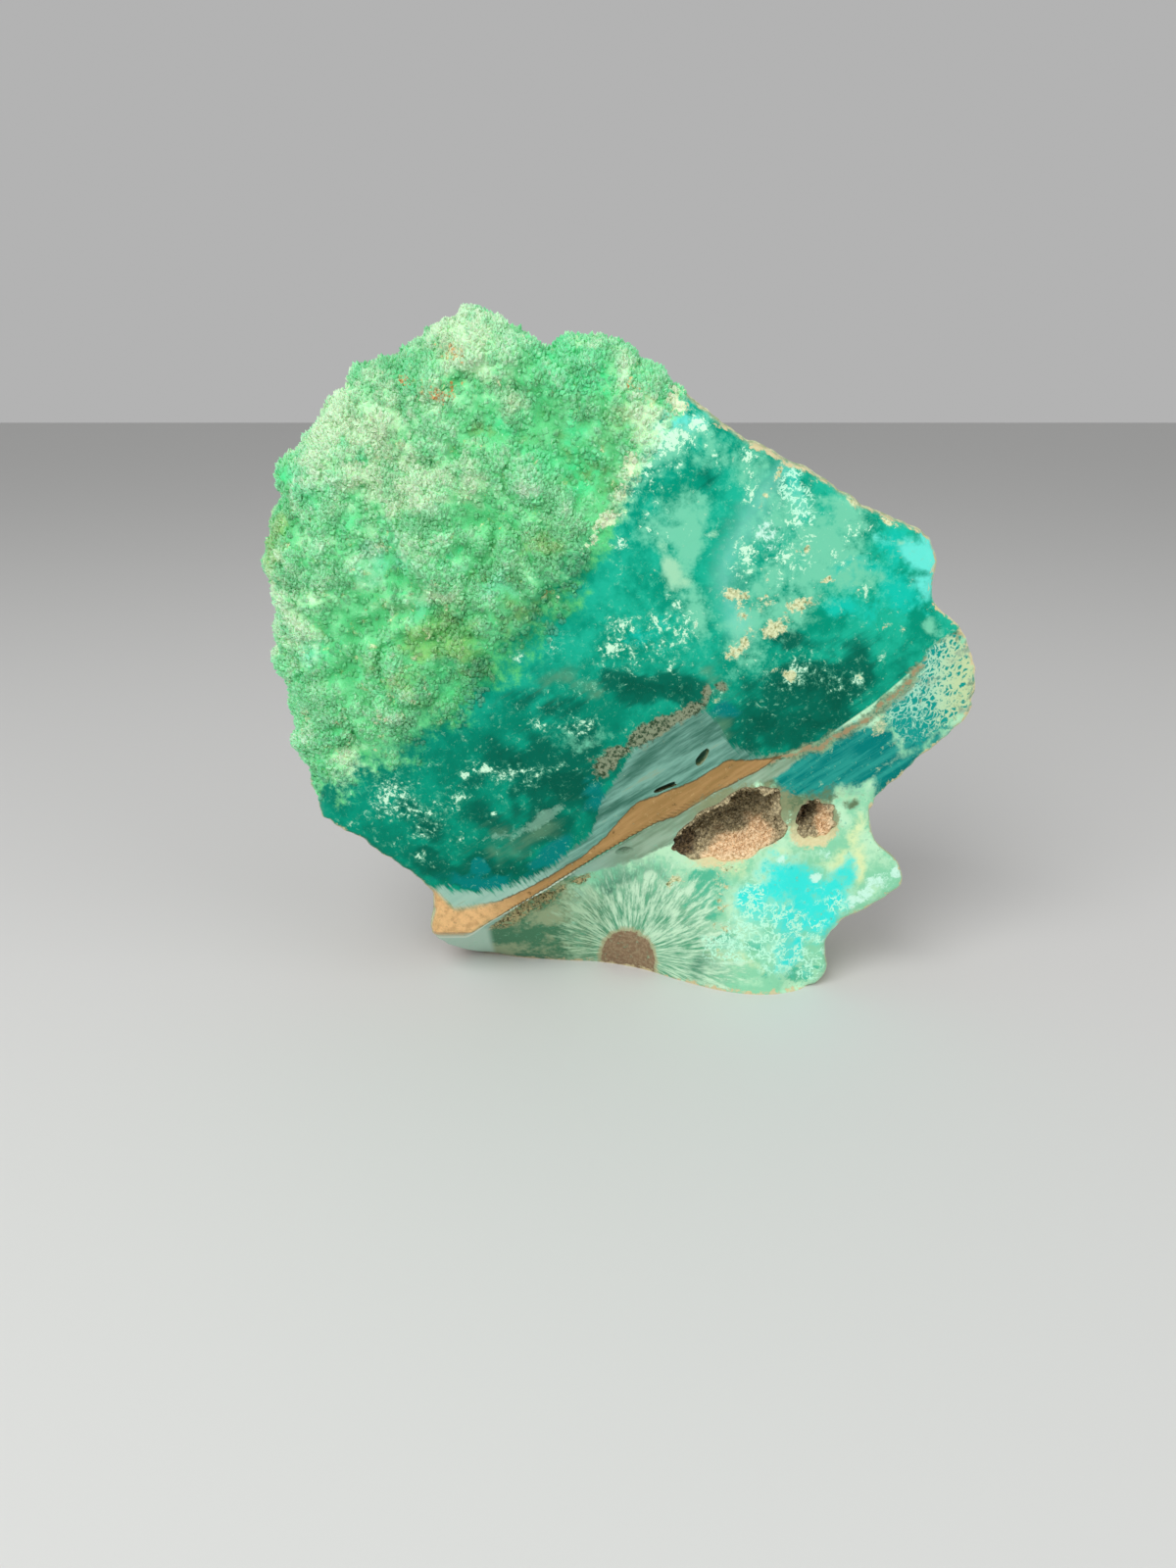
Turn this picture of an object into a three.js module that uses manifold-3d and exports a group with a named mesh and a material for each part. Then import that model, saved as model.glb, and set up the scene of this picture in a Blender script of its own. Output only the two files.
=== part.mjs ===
// A smithsonite specimen: one freeform stone, cut and polished on its front face, left as it
// grew over the upper left, the sides and the back, and cut flat underneath so that it stands.
// Two small hollows open in the front face, and each has a crust of small crystals of its own.
// Millimetres. +X right, +Y away from the front face, +Z up. The origin is the centre of the
// bounding box in X and Y, on the surface that the stone stands on.
import * as THREE from 'three';
import { mergeVertices } from 'three/addons/utils/BufferGeometryUtils.js';
import Module from 'manifold-3d';

const wasm = await Module();
wasm.setup();

// ---- Driving dimensions ------------------------------------------------------------------

// Rim of the front face, anticlockwise seen from the front, from the crown round by the left:
// [x, z, y, how far in from the rim the edge is rounded]. A cut edge is rounded by 2 or 3 mm.
const FRONT_RIM = [
  [-36.5, 182, -9, 13], [-45, 179, -9, 13], [-54.5, 173.5, -9, 13], [-62, 172.5, -9, 13],
  [-69.5, 165.5, -9, 13], [-76, 159.5, -9, 13], [-82, 150, -9, 13], [-88.5, 144.5, -9, 13],
  [-89, 137, -9, 13], [-93, 126, -9, 13], [-92.7, 114.5, -9, 13], [-90.5, 108.5, -9, 13],
  [-92.5, 97, -9, 13], [-90, 82, -9, 13], [-89, 69, -10, 13], [-86, 61, -11, 10],
  [-82.8, 52.5, -14, 4], [-79.7, 50.8, -16, 2.5], [-60, 36.1, -17, 2.5], [-54, 30.5, -16, 3],
  [-53, 27.5, -14, 4], [-54.4, 16, -12, 4], [-53.6, 10.5, -9, 3], [-45, 2, -1, 2.5],
  [-40, 0, 0, 2], [-30, 0, -3, 2], [-16, 0, -5, 2], [-6, 0, -6, 2],
  [6, 0, -10, 2], [19, 0, -18, 2], [30, 0, -23.5, 2], [41, 0, -25.5, 2],
  [51, 0, -23, 2.5], [57, 0, -17, 3], [60.5, 4, -14, 5], [59.5, 10, -15, 5], [62.5, 20, -19, 4],
  [69.5, 25, -20, 4], [78.5, 33, -20, 3], [78, 37.5, -20, 3], [70, 46, -20, 3],
  [68.3, 55.5, -20, 3], [80, 69.2, -20, 3], [91, 81, -20, 3], [93, 90, -20, 3],
  [88, 104, -20, 3], [80.5, 111, -20, 3], [78.3, 126, -19, 3], [75.5, 129, -18, 3],
  [62, 135, -18, 3], [47.5, 143.5, -18, 3], [41.5, 146.3, -18, 3], [31, 151, -18, 3],
  [17.5, 160.5, -16, 5], [5.5, 170, -11, 10], [-6, 177.5, -9, 13], [-20, 175, -9, 13],
  [-29, 180, -9, 13],
];
const BASE_HEIGHT = 0;
const FACE_CENTRE = [1, 88];
const FACE_DEPTH = -23;
const FACE_CROWN = 2.5; // how far the face falls back from its middle towards its rim
const FACE_RADIUS = 95;

// Swells and hollows of the front face: [x, z, radius, forward].
const FRONT_SWELLS = [
  [-48, 118, 44, 2.5], [-30, 160, 22, 1.5], [-66, 92, 22, 1.2], [58, 52, 18, -1.5],
];

// The seam across the front face: [x, z]. Above it the face stands nearly upright; below it the
// face falls back to the front edge of the base.
const SEAM = [
  [-56, 17], [-42, 17], [-36, 21], [-22, 30], [-8, 40], [4, 48], [22, 59], [39, 69], [53, 75],
  [66, 85], [82, 100], [95, 110],
];
const SEAM_CURVE = 0.8; // under 1, the lower face is fuller towards the seam

// Where the skin of natural crystals ends on the front face: [x, z], above it is natural.
const NATURAL_EDGE = [
  [-95, 54], [-77, 63], [-56, 74], [-35, 90], [-19, 106], [-9, 118], [-4, 130], [4, 147],
  [14, 163], [20, 200],
];
const NATURAL_BLEND = 7;

// The sides run back from the rim and draw in; the back is a low dome over a broad heel.
const SIDE_DRAW_IN = 0.12; // as a part of the stone's width, at the back rim
const SIDE_DRAW_CURVE = 1.7; // over 1, the sides run straight back before they draw in
const SIDE_CENTRE_X = 1;
const BACK_DEPTH = 24.5;
const BACK_RIM_AT_BASE = 20;
const BACK_RIM_AT_TOP = 7;
const BACK_ROUND_AT_BASE = 8;
const BACK_ROUND_AT_TOP = 40;
const HEEL_HEIGHT = 80;
const BACK_SWELLS = [
  [-40, 128, 34, -5], [38, 96, 30, -6], [-8, 60, 26, 1.5], [52, 34, 24, -4], [-58, 74, 24, -6],
  [-6, 150, 26, -4],
];

// Lumps: how far they stand out, and how far apart they are.
const FRONT_LUMP = 2.2;
const FRONT_LUMP_SIZE = 11;
const ROUGH_LUMP = 3.5;
const ROUGH_LUMP_SIZE = 16;
const SMOOTH_FOOT = 10; // the lumps fade out over this height above the flat base
const SIDE_FACING = 0.1; // a skin whose normal has less than this towards the front is a side
const FRONT_FACING = 0.6; // and one with more than this is the front face

// The hollows: middle [x, y, z], half sizes [x, y, z], turn about Y and slope of the floor in
// degrees, and the thickness of the crust.
const LARGE_VUG = {
  middle: [29.5, -17.5, 50.5], half: [17, 12.5, 9.5], turn: -21, slope: 25, crust: 1.8, seed: 3,
  detail: 4,
};
const SMALL_VUG = {
  middle: [52, -18.5, 52.5], half: [6.2, 8, 6], turn: 0, slope: 15, crust: 1.4, seed: 8,
  detail: 3,
};
const VUG_LUMP = 0.12; // height of the walls' lumps, as a part of the hollow's half size
const VUG_LUMP_CELLS = 1.6; // lumps along a half size
const GRAIN = 0.3; // height of the crust's grains, as a part of its thickness
const GRAIN_CELLS = 7; // grains along a half size
const CRUST_GAP = 0.3;
const CRUST_SET_BACK = 0.7;

// Small pits in the front face: middle [x, y, z], half sizes [x, y, z], turn about Y in degrees.
const PITS = [
  { middle: [21.5, -21.5, 70.5], half: [1.3, 3, 3.4], turn: 32 },
  { middle: [12, -21, 62], half: [6.2, 2.2, 1.5], turn: -24 },
  { middle: [1, -21.5, 42.5], half: [2.6, 2.6, 1.2], turn: -10 },
  { middle: [-24, -20, 26], half: [6.5, 3.2, 3], turn: -28 },
];

const WELD = 1e-3; // points closer than this are one point
const ACROSS = 32; // squares across the front and the back
const DEEP = 9; // squares from front to back along the side

// ---- Small functions ---------------------------------------------------------------------

const mix = (a, b, t) => a + (b - a) * t;
const clamp01 = (t) => Math.min(1, Math.max(0, t));

function smooth(from, to, value) {
  const t = clamp01((value - from) / (to - from));
  return t * t * (3 - 2 * t);
}

// Height of a polyline given as [x, height] at x.
function heightAt(line, x) {
  const last = line.length - 1;
  if (x <= line[0][0]) return line[0][1];
  if (x >= line[last][0]) return line[last][1];
  const n = line.findIndex((point) => point[0] >= x);
  const [x0, z0] = line[n - 1];
  const [x1, z1] = line[n];
  return mix(z0, z1, (x - x0) / (x1 - x0));
}

// A repeatable number from 0 to 1 for a cell of space.
function cellValue(i, j, k) {
  const wave = Math.sin(i * 127.1 + j * 311.7 + k * 74.7) * 43758.5453;
  return wave - Math.floor(wave);
}

// Smooth lumps from -1 to 1, with cells of one unit.
function lumps(x, y, z) {
  const [i, j, k] = [Math.floor(x), Math.floor(y), Math.floor(z)];
  const [u, v, w] = [smooth(0, 1, x - i), smooth(0, 1, y - j), smooth(0, 1, z - k)];
  const row = (b, c) => mix(cellValue(i, j + b, k + c), cellValue(i + 1, j + b, k + c), u);
  return mix(mix(row(0, 0), row(1, 0), v), mix(row(0, 1), row(1, 1), v), w) * 2 - 1;
}

// A quarter round, from 0 at the rim to 1 once it is `reach` inside.
function roundEdge(distance, reach) {
  const left = 1 - clamp01(distance / reach);
  return Math.sqrt(1 - left * left);
}

function swell(list, x, z) {
  const rise = ([cx, cz, radius, forward]) =>
    forward * Math.exp(-((x - cx) ** 2 + (z - cz) ** 2) / (radius * radius));
  return list.reduce((sum, entry) => sum + rise(entry), 0);
}

// ---- The stone ---------------------------------------------------------------------------

const rimCurve = new THREE.CatmullRomCurve3(
  FRONT_RIM.map(([x, z, y]) => new THREE.Vector3(x, y, z)), true, 'centripetal',
);
rimCurve.arcLengthDivisions = 1200;

// The rim at u from 0 to 1 along its length: its point and how far its edge is rounded.
function rimAt(u) {
  const t = rimCurve.getUtoTmapping(((u % 1) + 1) % 1);
  const point = rimCurve.getPoint(t);
  const place = t * FRONT_RIM.length;
  const n = Math.floor(place) % FRONT_RIM.length;
  const next = (n + 1) % FRONT_RIM.length;
  const reach = mix(FRONT_RIM[n][3], FRONT_RIM[next][3], place - Math.floor(place));
  return { x: point.x, y: point.y, z: Math.max(BASE_HEIGHT, point.z), reach };
}

const BASE_EDGE = FRONT_RIM.filter(([, z]) => z === BASE_HEIGHT).map(([x, , y]) => [x, y]);

function upperDepth(x, z) {
  const away = Math.hypot(x - FACE_CENTRE[0], z - FACE_CENTRE[1]) / FACE_RADIUS;
  return FACE_DEPTH + FACE_CROWN * away * away - swell(FRONT_SWELLS, x, z);
}

function frontDepth(x, z) {
  const seam = heightAt(SEAM, x);
  const up = clamp01(z / seam) ** SEAM_CURVE;
  return mix(heightAt(BASE_EDGE, x), upperDepth(x, Math.max(z, seam)), up);
}

function backRim(z) {
  return mix(BACK_RIM_AT_BASE, BACK_RIM_AT_TOP, smooth(0, HEEL_HEIGHT, z));
}

// The square (a, b), each from -1 to 1, laid over the disc: [part of the radius, part of a turn].
function squareToDisc(a, b) {
  if (a === 0 && b === 0) return [0, 0];
  if (a * a > b * b) return [Math.abs(a), (a > 0 ? 0 : 0.5) + b / a / 8];
  return [Math.abs(b), (b > 0 ? 0.25 : 0.75) - a / b / 8];
}

function frontPoint(a, b) {
  const [part, u] = squareToDisc(a, b);
  const rim = rimAt(u);
  const x = mix(FACE_CENTRE[0], rim.x, part);
  const z = mix(FACE_CENTRE[1], rim.z, part);
  const inside = (1 - part) * Math.hypot(rim.x - FACE_CENTRE[0], rim.z - FACE_CENTRE[1]);
  return [x, mix(rim.y, frontDepth(x, z), roundEdge(inside, rim.reach)), z];
}

function sidePoint(u, deep) {
  const rim = rimAt(u);
  const draw = 1 - SIDE_DRAW_IN * deep ** SIDE_DRAW_CURVE;
  const x = mix(SIDE_CENTRE_X, rim.x, draw);
  return [x, mix(rim.y, backRim(rim.z), deep), mix(BASE_HEIGHT, rim.z, draw)];
}

function backPoint(a, b) {
  const [part, u] = squareToDisc(a, b);
  const rim = rimAt(u);
  const edge = sidePoint(u, 1);
  const x = mix(FACE_CENTRE[0], edge[0], part);
  const z = mix(FACE_CENTRE[1], edge[2], part);
  const inside = (1 - part) * Math.hypot(edge[0] - FACE_CENTRE[0], edge[2] - FACE_CENTRE[1]);
  const reach = mix(BACK_ROUND_AT_BASE, BACK_ROUND_AT_TOP, smooth(0, HEEL_HEIGHT, rim.z));
  const dome = BACK_DEPTH + swell(BACK_SWELLS, x, z);
  return [x, mix(edge[1], dome, roundEdge(inside, reach)), z];
}

// Triangles over a grid of points; `turned` makes them face the other way.
function addGrid(points, rows, columns, pointAt, turned) {
  const corner = (i, j) => pointAt(i / rows, j / columns);
  for (let i = 0; i < rows; i += 1) {
    for (let j = 0; j < columns; j += 1) {
      const quad = [corner(i, j), corner(i + 1, j), corner(i + 1, j + 1), corner(i, j + 1)];
      if (turned) quad.reverse();
      points.push(...quad[0], ...quad[1], ...quad[2], ...quad[0], ...quad[2], ...quad[3]);
    }
  }
}

function geometryOf(points) {
  const geometry = new THREE.BufferGeometry();
  geometry.setAttribute('position', new THREE.Float32BufferAttribute(points, 3));
  return mergeVertices(geometry, WELD);
}

// How far a point of the stone's skin stands out: nothing on a cut face or on the base.
function skinLump(x, y, z, facesFront) {
  const natural = smooth(-NATURAL_BLEND, NATURAL_BLEND, z - heightAt(NATURAL_EDGE, x));
  const front = FRONT_LUMP * natural * lumps(...[x, y, z].map((value) => value / FRONT_LUMP_SIZE));
  const rough = ROUGH_LUMP * lumps(...[x, y, z].map((value) => value / ROUGH_LUMP_SIZE));
  return mix(rough, front, facesFront) * smooth(BASE_HEIGHT, SMOOTH_FOOT, z);
}

function stoneGeometry() {
  const points = [];
  addGrid(points, ACROSS, ACROSS, (i, j) => frontPoint(i * 2 - 1, j * 2 - 1), false);
  addGrid(points, ACROSS, ACROSS, (i, j) => backPoint(i * 2 - 1, j * 2 - 1), true);
  addGrid(points, ACROSS * 4, DEEP, (i, j) => sidePoint(i, j), true);
  const geometry = geometryOf(points);
  geometry.computeVertexNormals();
  const position = geometry.getAttribute('position');
  const normal = geometry.getAttribute('normal');
  for (let n = 0; n < position.count; n += 1) {
    const [x, y, z] = [position.getX(n), position.getY(n), position.getZ(n)];
    const facing = [normal.getX(n), normal.getY(n), normal.getZ(n)];
    const out = skinLump(x, y, z, smooth(SIDE_FACING, FRONT_FACING, -facing[1]));
    position.setXYZ(n, x + facing[0] * out, y + facing[1] * out, z + facing[2] * out);
  }
  geometry.deleteAttribute('normal');
  return geometry;
}

// ---- Hollows, crusts and pits ------------------------------------------------------------

function toSolid(geometry) {
  return new wasm.Manifold(new wasm.Mesh({
    numProp: 3,
    vertProperties: Float32Array.from(geometry.getAttribute('position').array),
    triVerts: Uint32Array.from(geometry.getIndex().array),
  }));
}

function toGeometry(solid) {
  const mesh = solid.getMesh();
  const geometry = new THREE.BufferGeometry();
  geometry.setAttribute('position', new THREE.Float32BufferAttribute(mesh.vertProperties, 3));
  geometry.setIndex(Array.from(mesh.triVerts));
  return geometry;
}

// A lumpy ball in a hollow's place, `inset` smaller all round, with lumps `rough` high.
function ballSolid({ middle, half, turn, slope = 0, seed = 0, detail = 2 }, inset, rough) {
  const ball = new THREE.IcosahedronGeometry(1, detail);
  ball.deleteAttribute('normal');
  ball.deleteAttribute('uv');
  const merged = mergeVertices(ball, WELD);
  const position = merged.getAttribute('position');
  for (let n = 0; n < position.count; n += 1) {
    const [x, y, z] = [position.getX(n), position.getY(n), position.getZ(n)];
    const lump = VUG_LUMP * lumps(...[x + seed, y, z].map((value) => value * VUG_LUMP_CELLS));
    const grain = rough * lumps(...[x + seed, y, z].map((value) => value * GRAIN_CELLS));
    const size = half.map((value) => value * (1 + lump) - inset + grain);
    position.setXYZ(n, x * size[0], y * size[1], z * size[2]);
  }
  merged.rotateX(THREE.MathUtils.degToRad(slope));
  merged.rotateY(THREE.MathUtils.degToRad(turn));
  merged.translate(...middle);
  return toSolid(merged);
}

// The crust lines the hollow: a thin bowl that stops just behind the stone's face.
function crustSolid(vug, wholeStone) {
  const behindFace = wholeStone.translate([0, CRUST_SET_BACK, 0]);
  const outside = ballSolid(vug, CRUST_GAP, 0);
  const inside = ballSolid(vug, CRUST_GAP + vug.crust, vug.crust * GRAIN);
  return outside.subtract(inside).intersect(behindFace);
}

// ---- The model ---------------------------------------------------------------------------

const stoneMaterial = new THREE.MeshStandardMaterial({ color: 0x2fae8c, roughness: 0.3, metalness: 0 });
const crustMaterial = new THREE.MeshStandardMaterial({ color: 0xa77f5c, roughness: 0.8, metalness: 0 });

function namedMesh(name, solid, material) {
  const mesh = new THREE.Mesh(toGeometry(solid), material);
  mesh.name = name;
  return mesh;
}

const wholeStone = toSolid(stoneGeometry());
const hollows = [LARGE_VUG, SMALL_VUG].map((vug) => ballSolid(vug, 0, 0));
const pits = PITS.map((pit) => ballSolid(pit, 0, 0));
const stone = [...hollows, ...pits].reduce((solid, cut) => solid.subtract(cut), wholeStone);

const specimen = new THREE.Group();
specimen.name = 'smithsonite_specimen';
specimen.add(namedMesh('stone', stone, stoneMaterial));
specimen.add(namedMesh('large_vug_crust', crustSolid(LARGE_VUG, wholeStone), crustMaterial));
specimen.add(namedMesh('small_vug_crust', crustSolid(SMALL_VUG, wholeStone), crustMaterial));

export default specimen;
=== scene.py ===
import math

import bpy
import numpy as np
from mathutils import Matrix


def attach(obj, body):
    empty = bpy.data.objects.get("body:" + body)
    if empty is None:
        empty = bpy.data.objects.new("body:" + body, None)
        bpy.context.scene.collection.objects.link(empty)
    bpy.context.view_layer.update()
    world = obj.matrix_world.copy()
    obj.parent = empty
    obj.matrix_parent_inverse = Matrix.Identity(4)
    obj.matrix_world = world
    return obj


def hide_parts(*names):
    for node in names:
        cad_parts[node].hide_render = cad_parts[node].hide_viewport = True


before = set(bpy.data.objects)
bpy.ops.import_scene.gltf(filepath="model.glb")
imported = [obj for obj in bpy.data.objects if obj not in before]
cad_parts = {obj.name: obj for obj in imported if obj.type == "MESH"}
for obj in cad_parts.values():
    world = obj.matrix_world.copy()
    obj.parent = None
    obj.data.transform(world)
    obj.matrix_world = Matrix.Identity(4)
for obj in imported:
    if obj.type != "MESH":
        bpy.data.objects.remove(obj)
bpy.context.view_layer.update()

# ---- The stone: its form ------------------------------------------------------------------
# One natural piece of smithsonite. Its front is cut and polished, its upper left, sides and
# back are as they grew or broke, and it is cut flat underneath. All sizes are in millimetres.

MM = 0.001

# Rim of the front face, anticlockwise seen from the front, from the crown round by the left:
# x, z, y, how far in from the rim the edge is rounded.
FRONT_RIM = np.array([
    [-36.5, 182, -9, 13], [-45, 179, -9, 13], [-54.5, 173.5, -9, 13], [-62, 172.5, -9, 13],
    [-69.5, 165.5, -9, 13], [-76, 159.5, -9, 13], [-82, 150, -9, 13], [-88.5, 144.5, -9, 13],
    [-89, 137, -9, 13], [-93, 126, -9, 13], [-92.7, 114.5, -9, 13], [-90.5, 108.5, -9, 13],
    [-92.5, 97, -9, 13], [-90, 82, -9, 13], [-89, 69, -10, 13], [-86, 61, -11, 10],
    [-82.8, 52.5, -14, 4], [-79.7, 50.8, -16, 2.5], [-60, 36.1, -17, 2.5], [-54, 30.5, -16, 3],
    [-53, 27.5, -14, 4], [-54.4, 16, -12, 4], [-53.6, 10.5, -9, 3], [-45, 2, -1, 2.5],
    [-40, 0, 0, 2], [-30, 0, -3, 2], [-16, 0, -5, 2], [-6, 0, -6, 2],
    [6, 0, -10, 2], [19, 0, -18, 2], [30, 0, -23.5, 2], [41, 0, -25.5, 2],
    [51, 0, -23, 2.5], [57, 0, -17, 3], [60.5, 4, -14, 5], [59.5, 10, -15, 5],
    [62.5, 20, -19, 4], [69.5, 25, -20, 4], [78.5, 33, -20, 3], [78, 37.5, -20, 3],
    [70, 46, -20, 3], [68.3, 55.5, -20, 3], [80, 69.2, -20, 3], [91, 81, -20, 3],
    [93, 90, -20, 3], [88, 104, -20, 3], [80.5, 111, -20, 3], [78.3, 126, -19, 3],
    [75.5, 129, -18, 3], [62, 135, -18, 3], [47.5, 143.5, -18, 3], [41.5, 146.3, -18, 3],
    [31, 151, -18, 3], [17.5, 160.5, -16, 5], [5.5, 170, -11, 10], [-6, 177.5, -9, 13],
    [-20, 175, -9, 13], [-29, 180, -9, 13],
])
BASE_ENDS = (-40.5, 57.5)  # between these x the rim is the front edge of the flat base
BASE_LEVEL = 0.2  # and lies lower than this
RIM_CHIP = 0.7  # how far the rim is chipped in and out
RIM_CHIP_SIZES = (4.5, 2)
RIM_CHIP_FOOT = (1, 9)  # the chips begin over this height above the base
FACE_CENTRE = np.array([1, 88])
FACE_DEPTH = -23
FACE_CROWN = 2.5  # how far the face falls back from its middle over this radius
FACE_RADIUS = 95

# Swells of the front face: x, z, radius, how far forward.
FRONT_SWELLS = [(-48, 118, 44, 2.5), (-30, 160, 22, 1.5), (-66, 92, 22, 1.2), (58, 52, 18, -1.5)]

# The seam under the tan vein, x and z. Below it the face steps back and falls away to the base.
SEAM = np.array([
    [-56, 17], [-42, 17], [-36, 21], [-22, 30], [-8, 40], [4, 48], [22, 59], [39, 69], [53, 75],
    [66, 85], [82, 100], [95, 110],
])
SEAM_CURVE = 0.8
SEAM_STEP = 1.3
SEAM_STEP_ENDS = (42, -10)  # over these x the step comes up from nothing
FOOT_TURNS = (44, 54)  # over these x the lower face leaves the curve of the foot
FOOT_DEPTH = -21.5

# Where the skin of natural crystals ends on the front, x and z: above the line it is natural.
NATURAL_EDGE = np.array([
    [-95, 54], [-77, 63], [-56, 74], [-35, 90], [-19, 106], [-9, 118], [-4, 130], [4, 147],
    [14, 163], [20, 200],
])
NATURAL_BLEND = 7

SIDE_DRAW_IN = 0.12  # part of its width and height that the side draws in by, at the back
SIDE_DRAW_CURVE = 1.7
BACK_DEPTH = 24.5
BACK_RIM = (20, 7)  # y of the back rim at the base and higher up
BACK_ROUND = (8, 40)  # how far in from the back rim the dome rises, at the base and higher up
HEEL_HEIGHT = 80
BACK_SWELLS = [
    (-40, 128, 34, -5), (38, 96, 30, -6), (-8, 60, 26, 1.5), (52, 34, 24, -4), (-58, 74, 24, -6),
    (-6, 150, 26, -4),
]

# The relief of the natural skin and of the broken sides and back: height and size of its lumps.
SKIN_SWELLS = (1.6, 12)
SKIN_BILLOWS = (2.2, 7.5)
SKIN_GRAIN = (1, 3.4)
SKIN_WARP = 3
BROKEN_SWELLS = (2.8, 16)
BROKEN_LEDGES = (1.6, 8)
BROKEN_GRAIN = (0.5, 2.8)
BROKEN_WARP = 2
WARP_SIZE = 12
BROKEN_FROM = 9  # how far behind the rim the broken relief has its full height
SMOOTH_FOOT = 10  # the lumps fade out over this height above the flat base
CRYSTAL_ROOM = 0.7  # how far the natural skin is set back for the crystals that stand on it

ACROSS = 222  # squares across the front
DEEP_FINE = 12  # rows of squares along the side, next to the front
DEEP_COARSE = 9  # rows of squares twice as wide, next to the back
FINE_SHARE = 0.42  # part of the side's depth that the fine rows cover


def smooth(low, high, value):
    """0 below low, 1 above high, and an S-shaped ramp between: 3 t^2 - 2 t^3."""
    t = np.clip((value - low) / (high - low), 0, 1)
    return t * t * (3 - 2 * t)


def cell_value(i, j, k):
    """A repeatable number from 0 to 1 for a cell of space: the fraction of a large sine."""
    wave = np.sin(i * 127.1 + j * 311.7 + k * 74.7) * 43758.5453
    return wave - np.floor(wave)


def lumps(points, size):
    """Smooth lumps from -1 to 1: the values at the corners of a cell of that size, blended."""
    place = np.asarray(points) / size
    cell = np.floor(place)
    u, v, w = smooth(0, 1, place - cell).T
    i, j, k = cell.T

    def row(b, c):
        return cell_value(i, j + b, k + c) * (1 - u) + cell_value(i + 1, j + b, k + c) * u

    low = row(0, 0) * (1 - v) + row(1, 0) * v
    high = row(0, 1) * (1 - v) + row(1, 1) * v
    return (low * (1 - w) + high * w) * 2 - 1


def from_centre(x, z):
    """Direction, in radians, and distance of a place on the front from the face's centre."""
    return (np.arctan2(z - FACE_CENTRE[1], x - FACE_CENTRE[0]),
            np.hypot(x - FACE_CENTRE[0], z - FACE_CENTRE[1]))


def rim_table(steps=24):
    """The rim as a closed centripetal Catmull-Rom curve: rows of length so far, x, y, z, reach."""
    p = FRONT_RIM[:, [0, 2, 1]]
    before, after, beyond = np.roll(p, 1, 0), np.roll(p, -1, 0), np.roll(p, -2, 0)
    d0, d1, d2 = (np.linalg.norm(b - a, axis=1, keepdims=True) ** 0.5
                  for a, b in ((before, p), (p, after), (after, beyond)))
    leave = d1 * ((p - before) / d0 - (after - before) / (d0 + d1) + (after - p) / d1)
    arrive = d1 * ((after - p) / d1 - (beyond - p) / (d1 + d2) + (beyond - after) / d2)
    t = (np.arange(steps) / steps)[None, :, None]
    p, after, leave, arrive = (a[:, None] for a in (p, after, leave, arrive))
    curve = (p * (2 * t**3 - 3 * t**2 + 1) + leave * (t**3 - 2 * t**2 + t)
             + after * (3 * t**2 - 2 * t**3) + arrive * (t**3 - t**2)).reshape(-1, 3)
    reach = FRONT_RIM[:, 3]
    reach = (reach[:, None] * (1 - t[0].T) + np.roll(reach, -1)[:, None] * t[0].T).reshape(-1, 1)
    rows = np.hstack([curve, reach])
    rows = np.vstack([rows, rows[:1]])
    gone = np.concatenate([[0], np.cumsum(np.linalg.norm(np.diff(rows[:, :3], axis=0), axis=1))])
    return np.column_stack([gone / gone[-1], rows])


RIM = rim_table()
on_base = (RIM[:, 3] < BASE_LEVEL) & (RIM[:, 1] > BASE_ENDS[0]) & (RIM[:, 1] < BASE_ENDS[1])
BASE_EDGE = RIM[on_base]
turn, away = from_centre(RIM[:-1, 1], RIM[:-1, 3])
order = np.argsort(turn)
RIM_TURN, RIM_AWAY, RIM_Y = turn[order], away[order], RIM[:-1, 2][order]


def rim_at(u):
    """x, y, z and reach of the rim at u, from 0 to 1 along its length, with small chips."""
    x, y, z, reach = (np.interp(u % 1, RIM[:, 0], RIM[:, n]) for n in (1, 2, 3, 4))
    flat = np.stack([x, 0 * x, z], -1).reshape(-1, 3)
    chip = lumps(flat, RIM_CHIP_SIZES[0]) + 0.6 * lumps(flat + 20, RIM_CHIP_SIZES[1])
    chip = RIM_CHIP * chip.reshape(x.shape) * smooth(*RIM_CHIP_FOOT, z)
    away = from_centre(x, z)[1]
    x, z = x + chip * (x - FACE_CENTRE[0]) / away, z + chip * (z - FACE_CENTRE[1]) / away
    return x, y, np.maximum(0, z), reach


def swell(list_of_swells, x, z):
    """Sum of round swells: height times exp(-(distance / radius)^2)."""
    return sum(rise * np.exp(-((x - cx) ** 2 + (z - cz) ** 2) / radius**2)
               for cx, cz, radius, rise in list_of_swells)


def front_depth(x, z):
    """y of the front: a low crown with swells above the seam; below it, a step back and a curve
    that falls away to the front edge of the base."""
    seam = np.interp(x, *SEAM.T)
    top = np.maximum(z, seam)
    away = from_centre(x, top)[1] / FACE_RADIUS
    upper = FACE_DEPTH + FACE_CROWN * away**2 - swell(FRONT_SWELLS, x, top)
    step = SEAM_STEP * smooth(*SEAM_STEP_ENDS, x) * smooth(0.5, -0.5, z - seam)
    up = np.clip(z / seam, 0, 1) ** SEAM_CURVE
    base = np.interp(x, BASE_EDGE[:, 1], BASE_EDGE[:, 2])
    base = base + (FOOT_DEPTH - base) * smooth(*FOOT_TURNS, x)
    return base + (upper + step - base) * up


def natural_at(x, z):
    """1 on the natural skin of the front, 0 on the polished face, by height over the edge."""
    return smooth(-NATURAL_BLEND, NATURAL_BLEND, z - np.interp(x, *NATURAL_EDGE.T))


def round_edge(distance, reach):
    """A quarter round, from 0 at the rim to 1 once it is `reach` inside."""
    return np.sqrt(1 - (1 - np.clip(distance / reach, 0, 1)) ** 2)


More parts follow.
